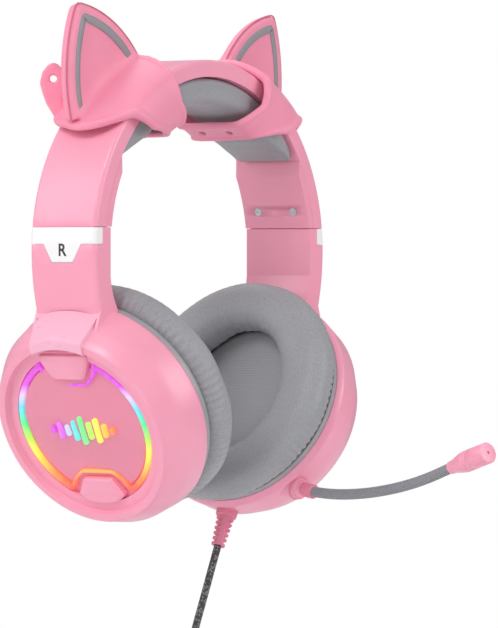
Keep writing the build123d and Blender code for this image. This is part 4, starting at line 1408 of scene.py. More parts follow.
    def pull_tab(self) -> bpy.types.Object:
        """The spade-shaped tab behind the ear: its outline run round a small hole, with two faces."""
        foot = BandPlace().at(98.3 * MM, 45.5, 21.0 * MM, self.side)
        along = np.array([0.6 * self.side.value, 0.8, 0.0])
        up = np.array([0.0, 0.0, 1.0])
        out = np.array([0.8 * self.side.value, -0.6, 0.0])
        mirrored = [(-across, rise) for across, rise in reversed(self.tab_head[:-1])]
        corners = np.array([*self.tab_base, *self.tab_head, *mirrored, self.tab_heel]) * MM
        rim = evenly(corners, 72, closed=True)
        angle = np.arctan2(rim[:, 1] - self.tab_hole_rise, rim[:, 0])
        hole = [self.tab_hole * np.cos(angle), self.tab_hole_rise + self.tab_hole * np.sin(angle)]
        hole = np.stack(hole, axis=-1)
        edge = rim * 0.97 + hole * 0.03
        loops = []
        for flat, level in ((hole, -1.1), (hole, 1.1), (edge, 1.1), (rim, 0.7), (rim, -0.7), (edge, -1.1)):
            loops.append(foot + flat[:, :1] * along + flat[:, 1:] * up + level * MM * out)
        return grid_mesh("tab", np.stack(loops, axis=1), Wrap.BOTH)

    def edge_seam(self, finishes: Finishes) -> bpy.types.Object:
        """The fine parting line that runs along the ear's front edge, its darker pink painted shade for the
        groove there.
        """
        line = self.soft_outline(-self.seam_out, 170)
        y = self.set_back(line[:, 0]) - self.thickness * self.seam_forward
        path = np.stack([line[:, 0] * self.side.value, y, line[:, 1]], axis=-1)
        tube = tube_points(path, self.seam_radius, 10)
        seam = grid_mesh(f"ear_{self.side.word}_seam", tube, Wrap.FIRST, ends=True)
        finishes.dress(seam, "seam_pink")
        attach(seam, f"ear_{self.side.word}")
        return seam

    def strap_holes(self) -> bpy.types.Object:
        """Two short rods through the strap below the cushion, to cut its round holes with."""
        rods = []
        for back in (-self.strap_hole_back, self.strap_hole_back):
            low, high = (
                BandPlace().at(reach, self.strap_hole_angle, back, self.side)
                for reach in self.strap_hole_reach
            )
            rods.append(lathe("rod", low, high, np.array([(0.0, 2.0), (9.0, 2.0)]) * MM, 32))
        return joined("rods", rods)

    def build(self, finishes: Finishes) -> bpy.types.Object:
        """Joins the ear's parts into one soft skin and lays the inlay on it.

        Args:
            finishes: the finishes.

        Returns:
            The ear, riding on its own body.
        """
        ear = joined(f"ear_{self.side.word}_skin", [self.sleeve(), self.leaf(), self.pull_tab()])
        remesh = ear.modifiers.new("one_skin", "REMESH")
        remesh.mode = "VOXEL"
        remesh.voxel_size = self.voxel
        smooth = ear.modifiers.new("soft", "SMOOTH")
        smooth.factor = 0.5
        smooth.iterations = 3
        cutters = self.strap_holes()
        holes = ear.modifiers.new("holes", "BOOLEAN")
        holes.operation = "DIFFERENCE"
        holes.object = cutters
        skin = bpy.data.meshes.new_from_object(ear.evaluated_get(bpy.context.evaluated_depsgraph_get()))
        ear.modifiers.clear()
        bpy.data.objects.remove(cutters)
        ear.data = skin
        skin.shade_smooth()
        finishes.dress(ear, "pink_silicone")
        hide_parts(f"ear_saddle_{self.side.word}")
        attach(ear, f"ear_{self.side.word}")
        self.inlay(finishes)
        self.edge_seam(finishes)
        return ear

    def inlay(self, finishes: Finishes) -> bpy.types.Object:
        """The grey V: a flat rounded strip that follows the outline, wider on the inner leg."""
        count = 180
        line = self.inset_line(self.inlay_inset, count)
        way = np.gradient(line, axis=0)
        way /= np.linalg.norm(way, axis=1, keepdims=True)
        normal = np.stack([way[:, 1], -way[:, 0]], axis=-1)
        run = np.linspace(0.0, 1.0, count)
        half = (1.95 - 0.35 * np.clip((run - 0.4) * 3.0, 0.0, 1.0)) * MM
        face = -self.thickness / 2 + 0.3 * MM
        loops = []
        for across, lift in self.inlay_section:
            spot = line + normal * (across * half)[:, None]
            y = self.set_back(spot[:, 0]) + face + lift * MM
            loops.append(np.stack([spot[:, 0] * self.side.value, y, spot[:, 1]], axis=-1))
        strip = grid_mesh(f"ear_{self.side.word}_stripe", np.stack(loops, axis=0), Wrap.FIRST, ends=True)
        finishes.dress(strip, "grey_silicone")
        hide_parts(f"ear_trim_{self.side.word}")
        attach(strip, f"ear_{self.side.word}")
        return strip


# ---------------------------------------------------------------------------
# lit faces and marks on the cups
# ---------------------------------------------------------------------------


@dataclass
class LitFace:
    """A cup's outer face: a faceted panel, the light ring round it and level bars in its middle."""

    side: Side
    panel_radius: float = 33.6 * MM
    panel_top: float = 23.6 * MM
    panel_seat: float = 21.8 * MM
    ring_inner: float = 33.8 * MM
    ring_outer: float = 37.4 * MM
    ring_top: float = 24.2 * MM
    ring_seat: float = 21.9 * MM
    bars: tuple = (1.7, 3.4, 6.2, 4.4, 7.2, 5.2, 2.8, 4.6, 2.0)
    notch: tuple = ((33.0, 16.6), (27.2, 13.6), (23.4, 9.2), (22.8, 7.6))
    low_notch: tuple = ((-30.6, 17.0), (-25.6, 13.6), (-22.4, 9.4), (-22.0, 7.8))
    bar_width: float = 2.6 * MM
    bar_pitch: float = 4.3 * MM
    high_badge: tuple = ((38.6, 13.6), (35.4, 14.0), (31.0, 11.9), (25.8, 8.6))
    low_badge: tuple = ((-25.0, 8.4), (-30.4, 11.6), (-33.6, 13.6), (-37.2, 8.0), (-38.2, 0.0))
    badge_top: float = 25.7 * MM
    badge_drops: tuple = (1.0, 0.3, 0.0)
    badge_grow: tuple = (1.0, 1.0, 0.95, 0.9)
    facet_falls: tuple = ((3.4, 0.9), (2.2, 2.35), (4.6, 3.6), (1.8, 5.4))
    facet_peak: float = 1.9
    facet_floor: float = -1.2

    def panel(self, finishes: Finishes) -> bpy.types.Object:
        """The panel: the lowest of several tilted planes, which meet in creases, over a round plan.

        Args:
            finishes: the finishes.

        Returns:
            The panel, riding on its cup.
        """
        ring = np.linspace(0.01, 1.0, 90)[None, :]
        turn = np.linspace(0.0, TAU, 180, endpoint=False)[:, None]
        up = self.panel_radius * ring * np.cos(turn)
        front = self.panel_radius * ring * np.sin(turn)
        height = self.facets(up, front)
        edge = np.clip((1.0 - ring) * self.panel_radius / (0.8 * MM), 0.0, 1.0)
        depth = self.panel_top - 0.5 * MM * (1.0 - np.sqrt(1.0 - (1.0 - edge) ** 2)) + height
        top = CupPlace(self.side).at(up, -front, depth)
        foot = CupPlace(self.side).at(up[:, -1:], -front[:, -1:], self.panel_seat)
        back = CupPlace(self.side).at(up[:, -1:] * 0.5, -front[:, -1:] * 0.5, self.panel_seat)
        points = np.concatenate([top, foot, back], axis=1)
        panel = sharpened(grid_mesh(f"panel_{self.side.word}", points, Wrap.FIRST, ends=True), 50.0)
        # the panel's deeper pink is partly painted shade for its downward tilt
        finishes.dress(panel, "pink_face")
        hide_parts(f"face_panel_{self.side.word}")
        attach(panel, self.side.body)
        return panel

    def facets(self, up: np.ndarray, front: np.ndarray) -> np.ndarray:
        """Heights of the facets: the lowest of four planes that fall away from a point near the middle."""
        u, f = up / self.panel_radius - 0.12, front / self.panel_radius + 0.1
        planes = []
        for slope, turn in self.facet_falls:
            planes.append(self.facet_peak - slope * (u * math.cos(turn) + f * math.sin(turn)))
        return np.maximum(np.minimum.reduce(planes), self.facet_floor) * MM

    def ring(self, finishes: Finishes) -> bpy.types.Object:
        """The light ring: a rounded square section along two arcs that are notched at the top and bottom.

        Args:
            finishes: the finishes.

        Returns:
            The ring, riding on its cup.
        """
        line = self.ring_line()
        way = np.roll(line, -1, axis=0) - np.roll(line, 1, axis=0)
        way /= np.linalg.norm(way, axis=1, keepdims=True)
        normal = np.stack([-way[:, 1], way[:, 0]], axis=-1)
        round_part = np.clip((np.linalg.norm(line, axis=1) - 30.0 * MM) / (4.0 * MM), 0.0, 1.0)
        half = (0.65 + 0.65 * round_part) * MM
        corners = rounded_rectangle(1.0, 1.0, 0.35, 4)
        flat = line[:, None] + normal[:, None] * (half[:, None] * corners[None, :, 0])[..., None]
        height = (self.ring_top - self.ring_seat) / 2
        depth = self.ring_seat + height + height * corners[None, :, 1] + 0.0 * half[:, None]
        points = CupPlace(self.side).at(flat[..., 0], flat[..., 1], depth)
        ring = grid_mesh(f"glow_ring_{self.side.word}", points, Wrap.BOTH)
        self.height_colours(ring.data)
        finishes.dress(ring, "light_ring")
        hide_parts(f"light_ring_{self.side.word}")
        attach(ring, self.side.body)
        return ring

    def ring_line(self) -> np.ndarray:
        """The ring's closed middle line: arcs at the sides and a mirrored notch at the top and bottom.

        Returns:
            An array (720, 2) of height and place to the back.
        """
        radius = (self.ring_inner + self.ring_outer) / 2
        turn = np.radians(np.linspace(29.0, 149.0, 120))
        arc = radius * np.stack([np.cos(turn), np.sin(turn)], axis=-1)
        back_half = np.concatenate([np.array(self.notch)[::-1] * MM, arc, np.array(self.low_notch) * MM])
        front_half = back_half[::-1] * np.array([1.0, -1.0])
        return evenly(np.concatenate([back_half, front_half]), 720, closed=True)

    def height_colours(self, mesh: bpy.types.Mesh) -> None:
        """Lays U by height up the cup, so that the colours run from its lowest to its highest point."""
        read = np.empty(len(mesh.vertices) * 3, np.float32)
        mesh.vertices.foreach_get("co", read)
        corner = np.empty(len(mesh.loops), np.int32)
        mesh.loops.foreach_get("vertex_index", corner)
        z = read.reshape(-1, 3)[corner, 2]
        share = (z - z.min()) / (z.max() - z.min())
        uv = np.stack([share, share], axis=-1)
        mesh.uv_layers[0].data.foreach_set("uv", uv.reshape(-1).astype(np.float32))

    def equaliser(self, finishes: Finishes) -> bpy.types.Object:
        """Upright level bars, rounded blocks side by side, as a plain sign for sound.

        Args:
            finishes: the finishes.

        Returns:
            The bars, riding on their cup.
        """
        made = []
        middle = (len(self.bars) - 1) / 2
        for index, height in enumerate(self.bars):
            flat = rounded_rectangle(height * MM, self.bar_width / 2, self.bar_width / 2 * 0.8, 4)
            across = (index - middle) * self.bar_pitch
            levels = np.array([self.panel_seat, self.panel_top + 2.1 * MM, self.panel_top + 2.35 * MM])
            grow = np.array([1.0, 1.0, 0.86])
            up = flat[:, None, 0] * grow[None]
            back = across + flat[:, None, 1] * grow[None]
            points = CupPlace(self.side).at(up, back, levels[None])
            bar = grid_mesh("bar", points, Wrap.FIRST, ends=True)
            self.one_colour(bar.data, 0.1 + 0.8 * index / (len(self.bars) - 1))
            made.append(bar)
        bars = joined(f"bars_{self.side.word}", made)
        finishes.dress(bars, "light_ring")
        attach(bars, self.side.body)
        return bars

    def badges(self, finishes: Finishes) -> bpy.types.Object:
        """Two bare plates in the ring's notches: mirrored outlines with rounded corners and a sloped edge.

        Args:
            finishes: the finishes.

        Returns:
            The plates, riding on their cup.
        """
        levels = np.concatenate([[self.panel_seat], self.badge_top - np.array(self.badge_drops) * MM])
        grow = np.array(self.badge_grow)
        weight = np.ones(5) / 5
        made = []
        for side_points in (self.high_badge, self.low_badge):
            half = np.array(side_points)
            mirrored = half[::-1] * np.array([1.0, -1.0])
            line = evenly(np.concatenate([half, mirrored]) * MM, 120, closed=True)
            wrapped = np.concatenate([line[-2:], line, line[:2]])
            line = np.stack([np.convolve(wrapped[:, k], weight, mode="valid") for k in range(2)], axis=-1)
            middle = line.mean(axis=0)
            flat = middle + (line[:, None] - middle) * grow[None, :, None]
            points = CupPlace(self.side).at(flat[..., 0], flat[..., 1], levels[None])
            made.append(grid_mesh("badge", points, Wrap.FIRST, ends=True))
        plates = sharpened(joined(f"badges_{self.side.word}", made), 30.0)
        finishes.dress(plates, "pink_shell")
        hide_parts(f"face_badges_{self.side.word}")
        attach(plates, self.side.body)
        return plates

    def one_colour(self, mesh: bpy.types.Mesh, share: float) -> None:
        """Gives a whole mesh one place on the run of colours."""
        uv = np.full(len(mesh.loops) * 2, share, np.float32)
        mesh.uv_layers[0].data.foreach_set("uv", uv)

    def build(self, finishes: Finishes) -> None:
        """Makes the panel, the ring, the badges and the bars."""
        self.panel(finishes)
        self.ring(finishes)
        self.badges(finishes)
        self.equaliser(finishes)


@dataclass
class ArmMarks:
    """An arm's cover, the plain letter on its side plate and, in the joint above, a thin darker pink slab:
    painted shade for the joint line.
    """

    side: Side
    height: float = 5.6 * MM
    middle: float = -68.0 * MM
    thickness: float = 0.12 * MM
    # heights of the slab that fills the joint gap as painted shade
    seal_low: float = -57.3 * MM
    seal_high: float = -57.08 * MM
    cover_outer: tuple = (
        (55.3, 12.8), (54.9, 13.6), (53.5, 16.6), (48.7, 26.2),
        (47.7, 27.6), (46.6, 28.1), (42.7, 28.1), (42.2, 27.7),
    )
    cover_inner: tuple = ((42.3, 26.0), (46.0, 25.4), (51.4, 15.8), (52.4, 12.4))

    def cover(self, finishes: Finishes) -> bpy.types.Object:
        """Makes the cover where the arm meets the cup: a strip a millimetre outside the cup's bevel.

        Args:
            finishes: the finishes.

        Returns:
            The cover, riding on its arm.
        """
        loop = evenly(np.array(self.cover_outer + self.cover_inner) * MM, 120, closed=True)[:, None]
        side = np.sin(np.linspace(-TAU / 4, TAU / 4, 61))[None, :]
        share = np.clip((loop[..., 1] - 13.0 * MM) / (15.0 * MM), 0.0, 1.0)
        back = side * (17.4 - 2.4 * share) * MM
        up = np.sqrt(loop[..., 0] ** 2 - back**2)
        points = CupPlace(self.side).at(up, back, loop[..., 1] + 0.0 * back)
        cover = grid_mesh(f"cover_{self.side.word}", points, Wrap.FIRST, ends=True)
        # the cover's paler pink is painted light for its upward face
        finishes.dress(sharpened(cover, 40.0), "light_cover")
        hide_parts(f"arm_cover_{self.side.word}")
        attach(cover, self.side.body)
        return cover

    def letter(self, finishes: Finishes) -> bpy.types.Object:
        """Makes the letter: a thin solid laid on the plate wherever the plate's face lies.

        Args:
            finishes: the finishes.

        Returns:
            The letter, riding on its arm.
        """
        data = bpy.data.curves.new("letter", "FONT")
        data.body = self.side.name[0]
        data.size = self.height / 0.7
        data.align_x = "CENTER"
        data.align_y = "CENTER"
        data.extrude = self.thickness
        data.offset = 0.14 * MM
        text = bpy.data.objects.new("letter", data)
        bpy.context.scene.collection.objects.link(text)
        mesh = bpy.data.meshes.new_from_object(text.evaluated_get(bpy.context.evaluated_depsgraph_get()))
        bpy.data.objects.remove(text)
        bpy.data.curves.remove(data)
        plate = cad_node(f"side_plate_{self.side.word}")
        for vertex in mesh.vertices:
            across, rise, lift = vertex.co
            spot = (self.side.value * 0.3, self.side.value * across, self.middle + rise)
            face = plate.ray_cast(spot, (-self.side.value, 0.0, 0.0))[1]
            vertex.co = (face[0] + self.side.value * lift, spot[1], spot[2])
        letter = sharpened(finished_object(f"letter_{self.side.word}", mesh), 30.0)
        mesh.materials.clear()
        finishes.dress(letter, "dark_plastic")
        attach(letter, self.side.body)
        return letter

    def seal(self, finishes: Finishes) -> bpy.types.Object:
        """Makes a thin rounded slab on top of the arm, a little inside its faces, in darker pink as painted
        shade for the joint line.
        """
        flat = rounded_rectangle(5.2 * MM, 18.0 * MM, 1.0 * MM, 4)
        levels = np.array([self.seal_low, self.seal_high])[None, :]
        x = self.side.value * (84.1 * MM + flat[:, :1]) + 0.0 * levels
        y = flat[:, 1:] + 0.0 * levels
        points = np.stack([x, y, levels + 0.0 * x], axis=-1)
        seal = grid_mesh(f"seal_{self.side.word}", points, Wrap.FIRST, ends=True)
        # slightly darker pink rubber finish: painted shade for the dark line of the joint
        finishes.dress(seal, "pink_rubber")
        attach(seal, self.side.body)
        return seal

    def build(self, finishes: Finishes) -> None:
        """Makes the cover, the letter and the painted joint shade."""
        self.cover(finishes)
        self.letter(finishes)
        self.seal(finishes)


# ---------------------------------------------------------------------------
# microphone
# ---------------------------------------------------------------------------


def lathe(
    name: str, start: np.ndarray, end: np.ndarray, profile: np.ndarray, around: int = 48
) -> bpy.types.Object:
    """A turned piece: a profile of (distance, radius) spun about the line from start to end.

    Args:
        name: the piece's name.
        start: where distance 0 lies.
        end: a point further along the axis.
        profile: an array (n, 2).
        around: points round it.

    Returns:
        The object, with both ends closed.
    """
    way = (end - start) / np.linalg.norm(end - start)
    path = start + way * profile[:, :1]
    side = np.cross(way, (0.0, 0.0, 1.0))
    if np.linalg.norm(side) < 0.1:
        side = np.array([1.0, 0.0, 0.0])
    side /= np.linalg.norm(side)
    up = np.cross(side, way)
    turn = np.linspace(0.0, TAU, around, endpoint=False)[:, None, None]
    points = path[None] + profile[None, :, 1:] * (np.cos(turn) * side + np.sin(turn) * up)
    return grid_mesh(name, points, Wrap.FIRST, ends=True)


@dataclass
class MicrophoneBoom:
    """The bendable boom and the microphone head at its end."""

    root: tuple = (43.0, -40.7, -181.4)
    bends: tuple = ((37.2, -80.0, -182.0), (31.4, -114.0, -175.6))
    tip: tuple = (27.0, -136.2, -168.4)
    end: tuple = (22.0, -160.4, -160.6)
    sags: tuple = ((40.4, -60.0, -183.2), (34.4, -97.5, -179.8), (29.3, -125.1, -172.4))
    radius: float = 2.5 * MM
    pitch: float = 1.55 * MM
    sleeve_points: int = 62
    sleeve_radius: float = 3.5 * MM
    sleeve_groove: float = 0.3 * MM
    rib_low: float = 0.76
    rib_swell: float = 0.26
    blend_points: int = 46

    def line(self) -> np.ndarray:
        """The boom's middle line: arcs through its bends and sags, as even points."""
        stops = [self.root, self.sags[0], self.bends[0], self.sags[1], self.bends[1], self.sags[2], self.tip]
        points = np.array(stops) * MM
        knots = np.linspace(0.0, 1.0, len(points))
        fine = np.linspace(0.0, 1.0, 600)
        fit = [np.polyval(np.polyfit(knots, points[:, k], 4), fine) for k in range(3)]
        line = np.stack(fit, axis=-1)
        line += (points[0] - line[0]) * (1 - fine[:, None]) + (points[-1] - line[-1]) * fine[:, None]
        return evenly(line, 900)

    def hose(self, name: str, line: np.ndarray, offset: float) -> bpy.types.Object:
        """A stretch of the ribbed hose: its radius swells with a sine along it, turned like a screw.

        Args:
            name: the piece's name.
            line: its middle line.
            offset: how far along the whole boom it starts.

        Returns:
            The piece.
        """
        around = 28
        steps = np.linalg.norm(np.diff(line, axis=0), axis=1)
        along = offset + np.concatenate([[0.0], np.cumsum(steps)])
        turn = np.linspace(0.0, 1.0, around, endpoint=False)[:, None]
        wave = np.abs(np.sin(TAU / 2 * (along[None, :] / self.pitch + turn)))
        radius = self.radius * (self.rib_low + self.rib_swell * wave)
        return grid_mesh(name, tube_points(line, radius, around), Wrap.FIRST, ends=True)

    def build(self, finishes: Finishes) -> None:
        """Makes the hose in four stretches, each turning smoothly across one bend, and the head.

        Args:
            finishes: the finishes.
        """
        line = self.line()
        steps = np.linalg.norm(np.diff(line, axis=0), axis=1)
        along = np.concatenate([[0.0], np.cumsum(steps)])
        marks = [0]
        for bend in self.sags:
            marks.append(int(np.argmin(np.linalg.norm(line - np.array(bend) * MM, axis=1))))
        marks.append(len(line) - 1)
        for index in range(4):
            first, last = marks[index], marks[index + 1]
            stretch = line[max(first - 1, 0): last + 1]
            piece = self.hose(f"boom_{index + 1}", stretch, along[max(first - 1, 0)])
            finishes.dress(piece, "gooseneck")
            if index < 3:
                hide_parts(f"gooseneck_{index + 1}")
                if index == 0:
                    self.root_sleeve(line, finishes)
                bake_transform(piece)
            else:
                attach(piece, "boom_upper")
        self.head(finishes)

    def root_sleeve(self, line: np.ndarray, finishes: Finishes) -> bpy.types.Object:
        """The short rubber sleeve round the hose where it leaves its socket: a tube with three grooves.

        Args:
            line: the boom's middle line.
            finishes: the finishes.

        Returns:
            The sleeve, round the hose's first stretch.
        """
        stretch = line[: self.sleeve_points]
        share = np.linspace(0.0, 1.0, len(stretch))[None, :]
        groove = 0.5 + 0.5 * np.tanh(8.0 * np.sin(3.0 * TAU * share))
        around = 40
        radius = (self.sleeve_radius - self.sleeve_groove * groove) * np.ones((around, 1))
        tube = tube_points(stretch, radius, around)
        sleeve = sharpened(grid_mesh("boom_sleeve", tube, Wrap.FIRST, ends=True), 40.0)
        finishes.dress(sleeve, "pink_rubber")
        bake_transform(sleeve)
        return sleeve

    def head(self, finishes: Finishes) -> bpy.types.Object:
        """The microphone head: a narrow neck, grip ribs, a plain barrel and a flat end with a port.

        Args:
            finishes: the finishes.

        Returns:
            The head, riding on the last stretch of the boom.
        """
        start, end = np.array(self.tip) * MM, np.array(self.end) * MM
        length = np.linalg.norm(end - start)
        along = [0.0, 0.3, 2.0, 4.0, 6.0, 8.0, 10.0, 11.0]
        radius = [2.7, 3.05, 3.1, 3.5, 4.0, 4.5, 4.9, 5.0]
        for rib in range(2):
            spot = 12.4 + rib * 1.6
            along += [spot, spot + 0.2, spot + 0.5, spot + 0.7]
            radius += [5.0, 4.85, 4.85, 5.0]
        along += [19.4, length / MM - 0.5, length / MM - 0.1, length / MM, length / MM, length / MM - 0.6]
        radius += [5.0, 5.0, 4.75, 4.3, 0.8, 0.7]
        profile = np.stack([np.array(along), np.array(radius)], axis=-1) * MM
        head = sharpened(lathe("mic_head", start, end, profile, 64), 40.0)
        finishes.dress(head, "pink_shell")
        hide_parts("mic_housing")
        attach(head, "boom_upper")
        return head


# ---------------------------------------------------------------------------
# cable
# ---------------------------------------------------------------------------


CABLE_EXIT = (31.0547, 1.4, -209.2375)


@dataclass
class StrainRelief:
    """The ribbed rubber sleeve where the cable leaves the left cup."""

    start: tuple = (38.6, 1.4, -192.9)
    end: tuple = CABLE_EXIT
    windows: int = 5

    def build(self, finishes: Finishes) -> bpy.types.Object:
        """Makes the sleeve: a taper whose radius drops in short windows on two sides.

        Args:
            finishes: the finishes.

        Returns:
            The sleeve, riding on the left cup.
        """
        top, bottom = np.array(self.start) * MM, np.array(self.end) * MM
        length = np.linalg.norm(bottom - top)
        way = (bottom - top) / length
        run = np.linspace(0.0, 1.0, 150)
        path = top + way * (run * length)[:, None]
        side = np.array([way[2], 0.0, -way[0]])
        back = np.cross(way, side)
        turn = np.linspace(0.0, TAU, 72, endpoint=False)[:, None]
        collar = np.clip((0.17 - run) / 0.01, 0.0, 1.0)
        taper = (4.5 - 1.2 * run) * MM + collar * 0.7 * MM
        cell = (run - 0.24) / 0.145
        inside = np.clip((0.5 - np.abs(cell % 1.0 - 0.5)) * 8.0 - 1.2, 0.0, 1.0)
        inside = inside * (cell > 0) * (cell < self.windows)
        sides = np.clip((np.abs(np.sin(turn + 0.5 * TAU / 4)) - 0.42) * 9.0, 0.0, 1.0)
        radius = taper[None] - 1.15 * MM * inside[None] * sides
        radius = np.minimum(radius, taper[None])
        spokes = np.cos(turn)[..., None] * side + np.sin(turn)[..., None] * back
        points = path[None] + radius[..., None] * spokes
        sleeve = sharpened(grid_mesh("relief", points, Wrap.FIRST, ends=True), 50.0)
        finishes.dress(sleeve, "pink_rubber")
        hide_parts("strain_relief")
        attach(sleeve, "left_side")
        return sleeve


@dataclass
class Cable:
    """The braided cable, its hanging coil, the splitter and the two tails with their plugs."""

    exit: tuple = CABLE_EXIT
    diameter: float = 3.6 * MM
    coil_side: float = 15.0
    coil_drop: float = 20.0
    turn_radius: float = 21.6
    pitch: float = 3.75
    per_turn: int = 16
    tail_diameter: float = 2.6 * MM

    def coil_centre(self) -> np.ndarray:
        """The middle of the coil, in millimetres."""
        return np.array(self.exit) + (-16.2 - self.coil_side, 1.0, -55.0 - self.coil_drop)

    def turns(self) -> list[tuple[float, float]]:
        """Radius and place to the back of each turn: the outer layer, then the middle, then the inner."""
        slots = [(self.turn_radius + self.pitch, y) for y in (2.0, 1.0, 0.0, -1.0)]
        slots += [(self.turn_radius, y) for y in (-1.0, 0.0, 1.0, 2.0)]
        slots += [(self.turn_radius - self.pitch, y) for y in (2.0, 1.0, 0.0, -1.0, -2.0)]
        return [(radius, y * self.pitch) for radius, y in slots]

    def coil(self) -> np.ndarray:
        """The coil's points: circles whose radius and depth step to the next turn over its lowest part."""
        slots = np.array(self.turns())
        count = len(slots) * self.per_turn
        start = math.radians(40.0)
        angle = start - np.arange(count) * TAU / self.per_turn
        turn = (start - angle) / TAU
        whole = np.floor(turn + 1e-9).astype(int)
        share = np.clip((turn - whole) * 3.2 - 1.0, 0.0, 1.0)
        after = np.minimum(whole + 1, len(slots) - 1)
        mixed = slots[whole] * (1.0 - share[:, None]) + slots[after] * share[:, None]
        centre = self.coil_centre()
        x = centre[0] + mixed[:, 0] * np.cos(angle)
        z = centre[2] + mixed[:, 0] * np.sin(angle)
        return np.stack([x, centre[1] + mixed[:, 1], z], axis=-1)

    def route(self) -> np.ndarray:
        """The whole cable's control points in metres: down from the cup, round the coil, to the splitter."""
        first = np.array(self.exit)
        lead = [(0.0, 0.0, 0.0), (-5.8, 0.0, -12.4), (-11.4, 0.4, -26.0), (-15.6, 2.6, -41.0)]
        ways = first + np.array(lead)
        centre = self.coil_centre()
        steps = [(18.6, -7.6, 0.5), (21.0, -9.4, -7.0), (22.2, -12.4, -17.0), (22.0, -13.2, -29.0)]
        out = centre + np.array(steps)
        return np.concatenate([ways, self.coil(), out]) * MM

    def tube(
        self, name: str, points: np.ndarray, diameter: float, samples: int
    ) -> tuple[bpy.types.Object, np.ndarray]:
        """A cord as a tube along the smooth spline of its points, with V in diameters.

        Args:
            name: the piece's name.
            points: the control points in metres.
            diameter: the cord's diameter.
            samples: how many rings it has.

        Returns:
            The piece and the line that it follows.
        """
        line = curve_points([tuple(p) for p in points], samples)
        cord = grid_mesh(name, tube_points(line, np.full(samples, diameter / 2), 12), Wrap.FIRST, ends=True)
        length = float(np.linalg.norm(np.diff(line, axis=0), axis=1).sum())
        mesh = cord.data
        uv = np.empty(len(mesh.loops) * 2, np.float32)
        mesh.uv_layers[0].data.foreach_get("uv", uv)
        uv = uv.reshape(-1, 2) * np.array([1.0, length / diameter], np.float32)
        mesh.uv_layers[0].data.foreach_set("uv", uv.reshape(-1))
        return cord, line

    def tail(self, way: int, finishes: Finishes) -> bpy.types.Object:
        """A tail from the splitter to its plug, on the side that way gives."""
        top = self.coil_centre() + (22.0, -13.2, -43.0)
        fall = ((3.0, 0.0), (3.6, -9.0), (9.0, -20.0), (10.6, -32.0))
        steps = np.array([(way * across, 0.0, drop) for across, drop in fall])
        points = (top + steps) * MM
        word = "jack" if way < 0 else "usb"
        cord, line = self.tube(f"{word}_tail", points, self.tail_diameter, 60)
        finishes.dress(cord, "grey_cord")
        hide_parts(f"tail_{word}")
        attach(cord, "left_side")
        plug = self.jack_plug(finishes, points[-1]) if way < 0 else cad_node("usb_plug")
        return cord

    def jack_plug(self, finishes: Finishes, top: np.ndarray) -> bpy.types.Object:
        """The sound plug: a ribbed grip and a ringed pin, turned about the same line."""
        end = top - np.array([0.0, 0.0, 1.0])
        grip_run = [0.0, 0.2, 4.0, 5.0]
        grip_radius = [2.6, 3.0, 4.1, 4.2]
        for rib in range(6):
            grip_run += [6.0 + rib * 1.7, 6.3 + rib * 1.7, 6.9 + rib * 1.7, 7.2 + rib * 1.7]
            grip_radius += [4.2, 3.8, 3.8, 4.2]
        grip_run += [19.4, 20.0]
        grip_radius += [4.1, 3.6]
        grip = lathe("jack_grip", top, end, np.stack([grip_run, grip_radius], axis=-1) * MM)
        pin_run = [19.9, 20.8, 20.8]
        pin_radius = [2.6, 2.6, 1.75]
        for ring in (24.0, 27.0, 30.0):
            pin_run += [ring, ring + 0.1, ring + 0.5, ring + 0.6]
            pin_radius += [1.75, 1.6, 1.6, 1.75]
        pin_run += [32.0, 33.2, 34.0]
        pin_radius += [1.7, 1.1, 0.6]
        pin = lathe("jack_pin", top, end, np.stack([pin_run, pin_radius], axis=-1) * MM)
        finishes.dress(sharpened(grip, 40.0), "dark_plastic")
        finishes.dress(sharpened(pin, 40.0), "gold_pin")
        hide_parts("jack_plug")
        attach(grip, "left_side")
        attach(pin, "left_side")
        return grip

    def build(self, finishes: Finishes) -> None:
        """Makes the cable, its tails and their plugs.

        Args:
            finishes: the finishes.
        """
        points = self.route()
        cord, line = self.tube("cord", points, self.diameter, 1500)
        length = float(np.linalg.norm(np.diff(line, axis=0), axis=1).sum())
        log.info("cable %.3f m long", length)
        finishes.dress(cord, "braided_cable")
        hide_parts("cable", "cable_coil")
        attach(cord, "left_side")
        self.tail(-1, finishes)
        self.tail(1, finishes)


# ---------------------------------------------------------------------------
# the rigid pieces
# ---------------------------------------------------------------------------


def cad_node(name: str) -> bpy.types.Object:
    """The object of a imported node."""
    return FRAME["nodes"][name]


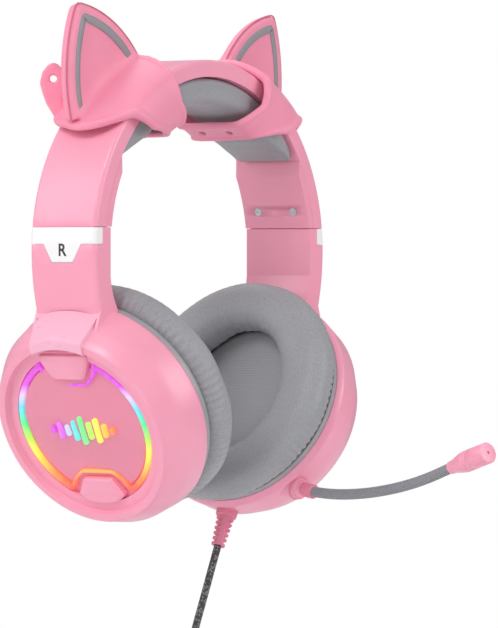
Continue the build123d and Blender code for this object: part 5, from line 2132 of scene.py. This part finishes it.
@dataclass
class RigidPieces:
    """The moulded and metal pieces that keep their own shape, each with its finish and rounded edges."""

    finish: dict = field(
        default_factory=lambda: {
            "band_shell": "pink_shell",
            "band_liner": "pink_inner",
            "band_spring": "spring_steel",
            "slider_housing": "pink_inner",
            "housing_screws": "spring_steel",
            "slider_strip": "spring_steel",
            "cup_shell": "pink_shell",
            "side_plate": "white_plate",
            "light_board": "circuit_board",
            "lip_ring": "light_grey",
            "baffle": "grey_plastic",
            "cup_screws": "bright_screw",
            "driver": "dark_plastic",
            "driver_magnet": "spring_steel",
            "volume_wheel": "grey_plastic",
            "control_board": "circuit_board",
            "mute_button": "grey_plastic",
            "mic_socket": "pink_shell",
            "mic_capsule": "dark_plastic",
            "cable_tie": "dark_plastic",
            "splitter": "dark_plastic",
            "usb_plug": "dark_plastic",
        }
    )
    soft_edge: dict = field(default_factory=lambda: {"slider_housing": 0.0})

    def build(self, finishes: Finishes) -> None:
        """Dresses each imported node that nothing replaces.

        Args:
            finishes: the finishes.
        """
        for name, node in FRAME["nodes"].items():
            stem = name.removesuffix("_left").removesuffix("_right")
            if stem in self.finish:
                finishes.dress(node, self.finish[stem])
                self.round_edges(node, stem)

    def round_edges(self, node: bpy.types.Object, stem: str) -> None:
        """Joins the node's loose triangles and rounds its sharp edges as much as its kind asks for."""
        weld = node.modifiers.new("weld", "WELD")
        weld.merge_threshold = 0.002 * MM
        width = self.soft_edge.get(stem, 0.22 * MM)
        if width > 0.0:
            bevelled(node, width, 2, 35.0)


FRAME: dict = {}


def main() -> None:
    """Builds the headset piece by piece."""
    logging.basicConfig(level=logging.INFO, format="%(message)s")
    FRAME.update(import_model())
    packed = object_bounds()
    finishes = Finishes()
    studio = Studio()
    studio.camera()
    studio.lights()
    studio.floor(float(packed[0][2]), finishes)
    log.info("studio ready")
    Cable().build(finishes)
    log.info("cable and plugs ready")
    RigidPieces().build(finishes)
    log.info("rigid pieces ready")
    BandCushion().build(finishes)
    for side in Side:
        EarPad(side).build(finishes)
        SpeakerCloth(side).build(finishes)
        LitFace(side).build(finishes)
        ArmMarks(side).build(finishes)
        CatEar(side).build(finishes)
        log.info("%s side ready", side.word)
    MicrophoneBoom().build(finishes)
    StrainRelief().build(finishes)
    log.info("microphone and strain relief ready")


if __name__ == "__main__":
    main()
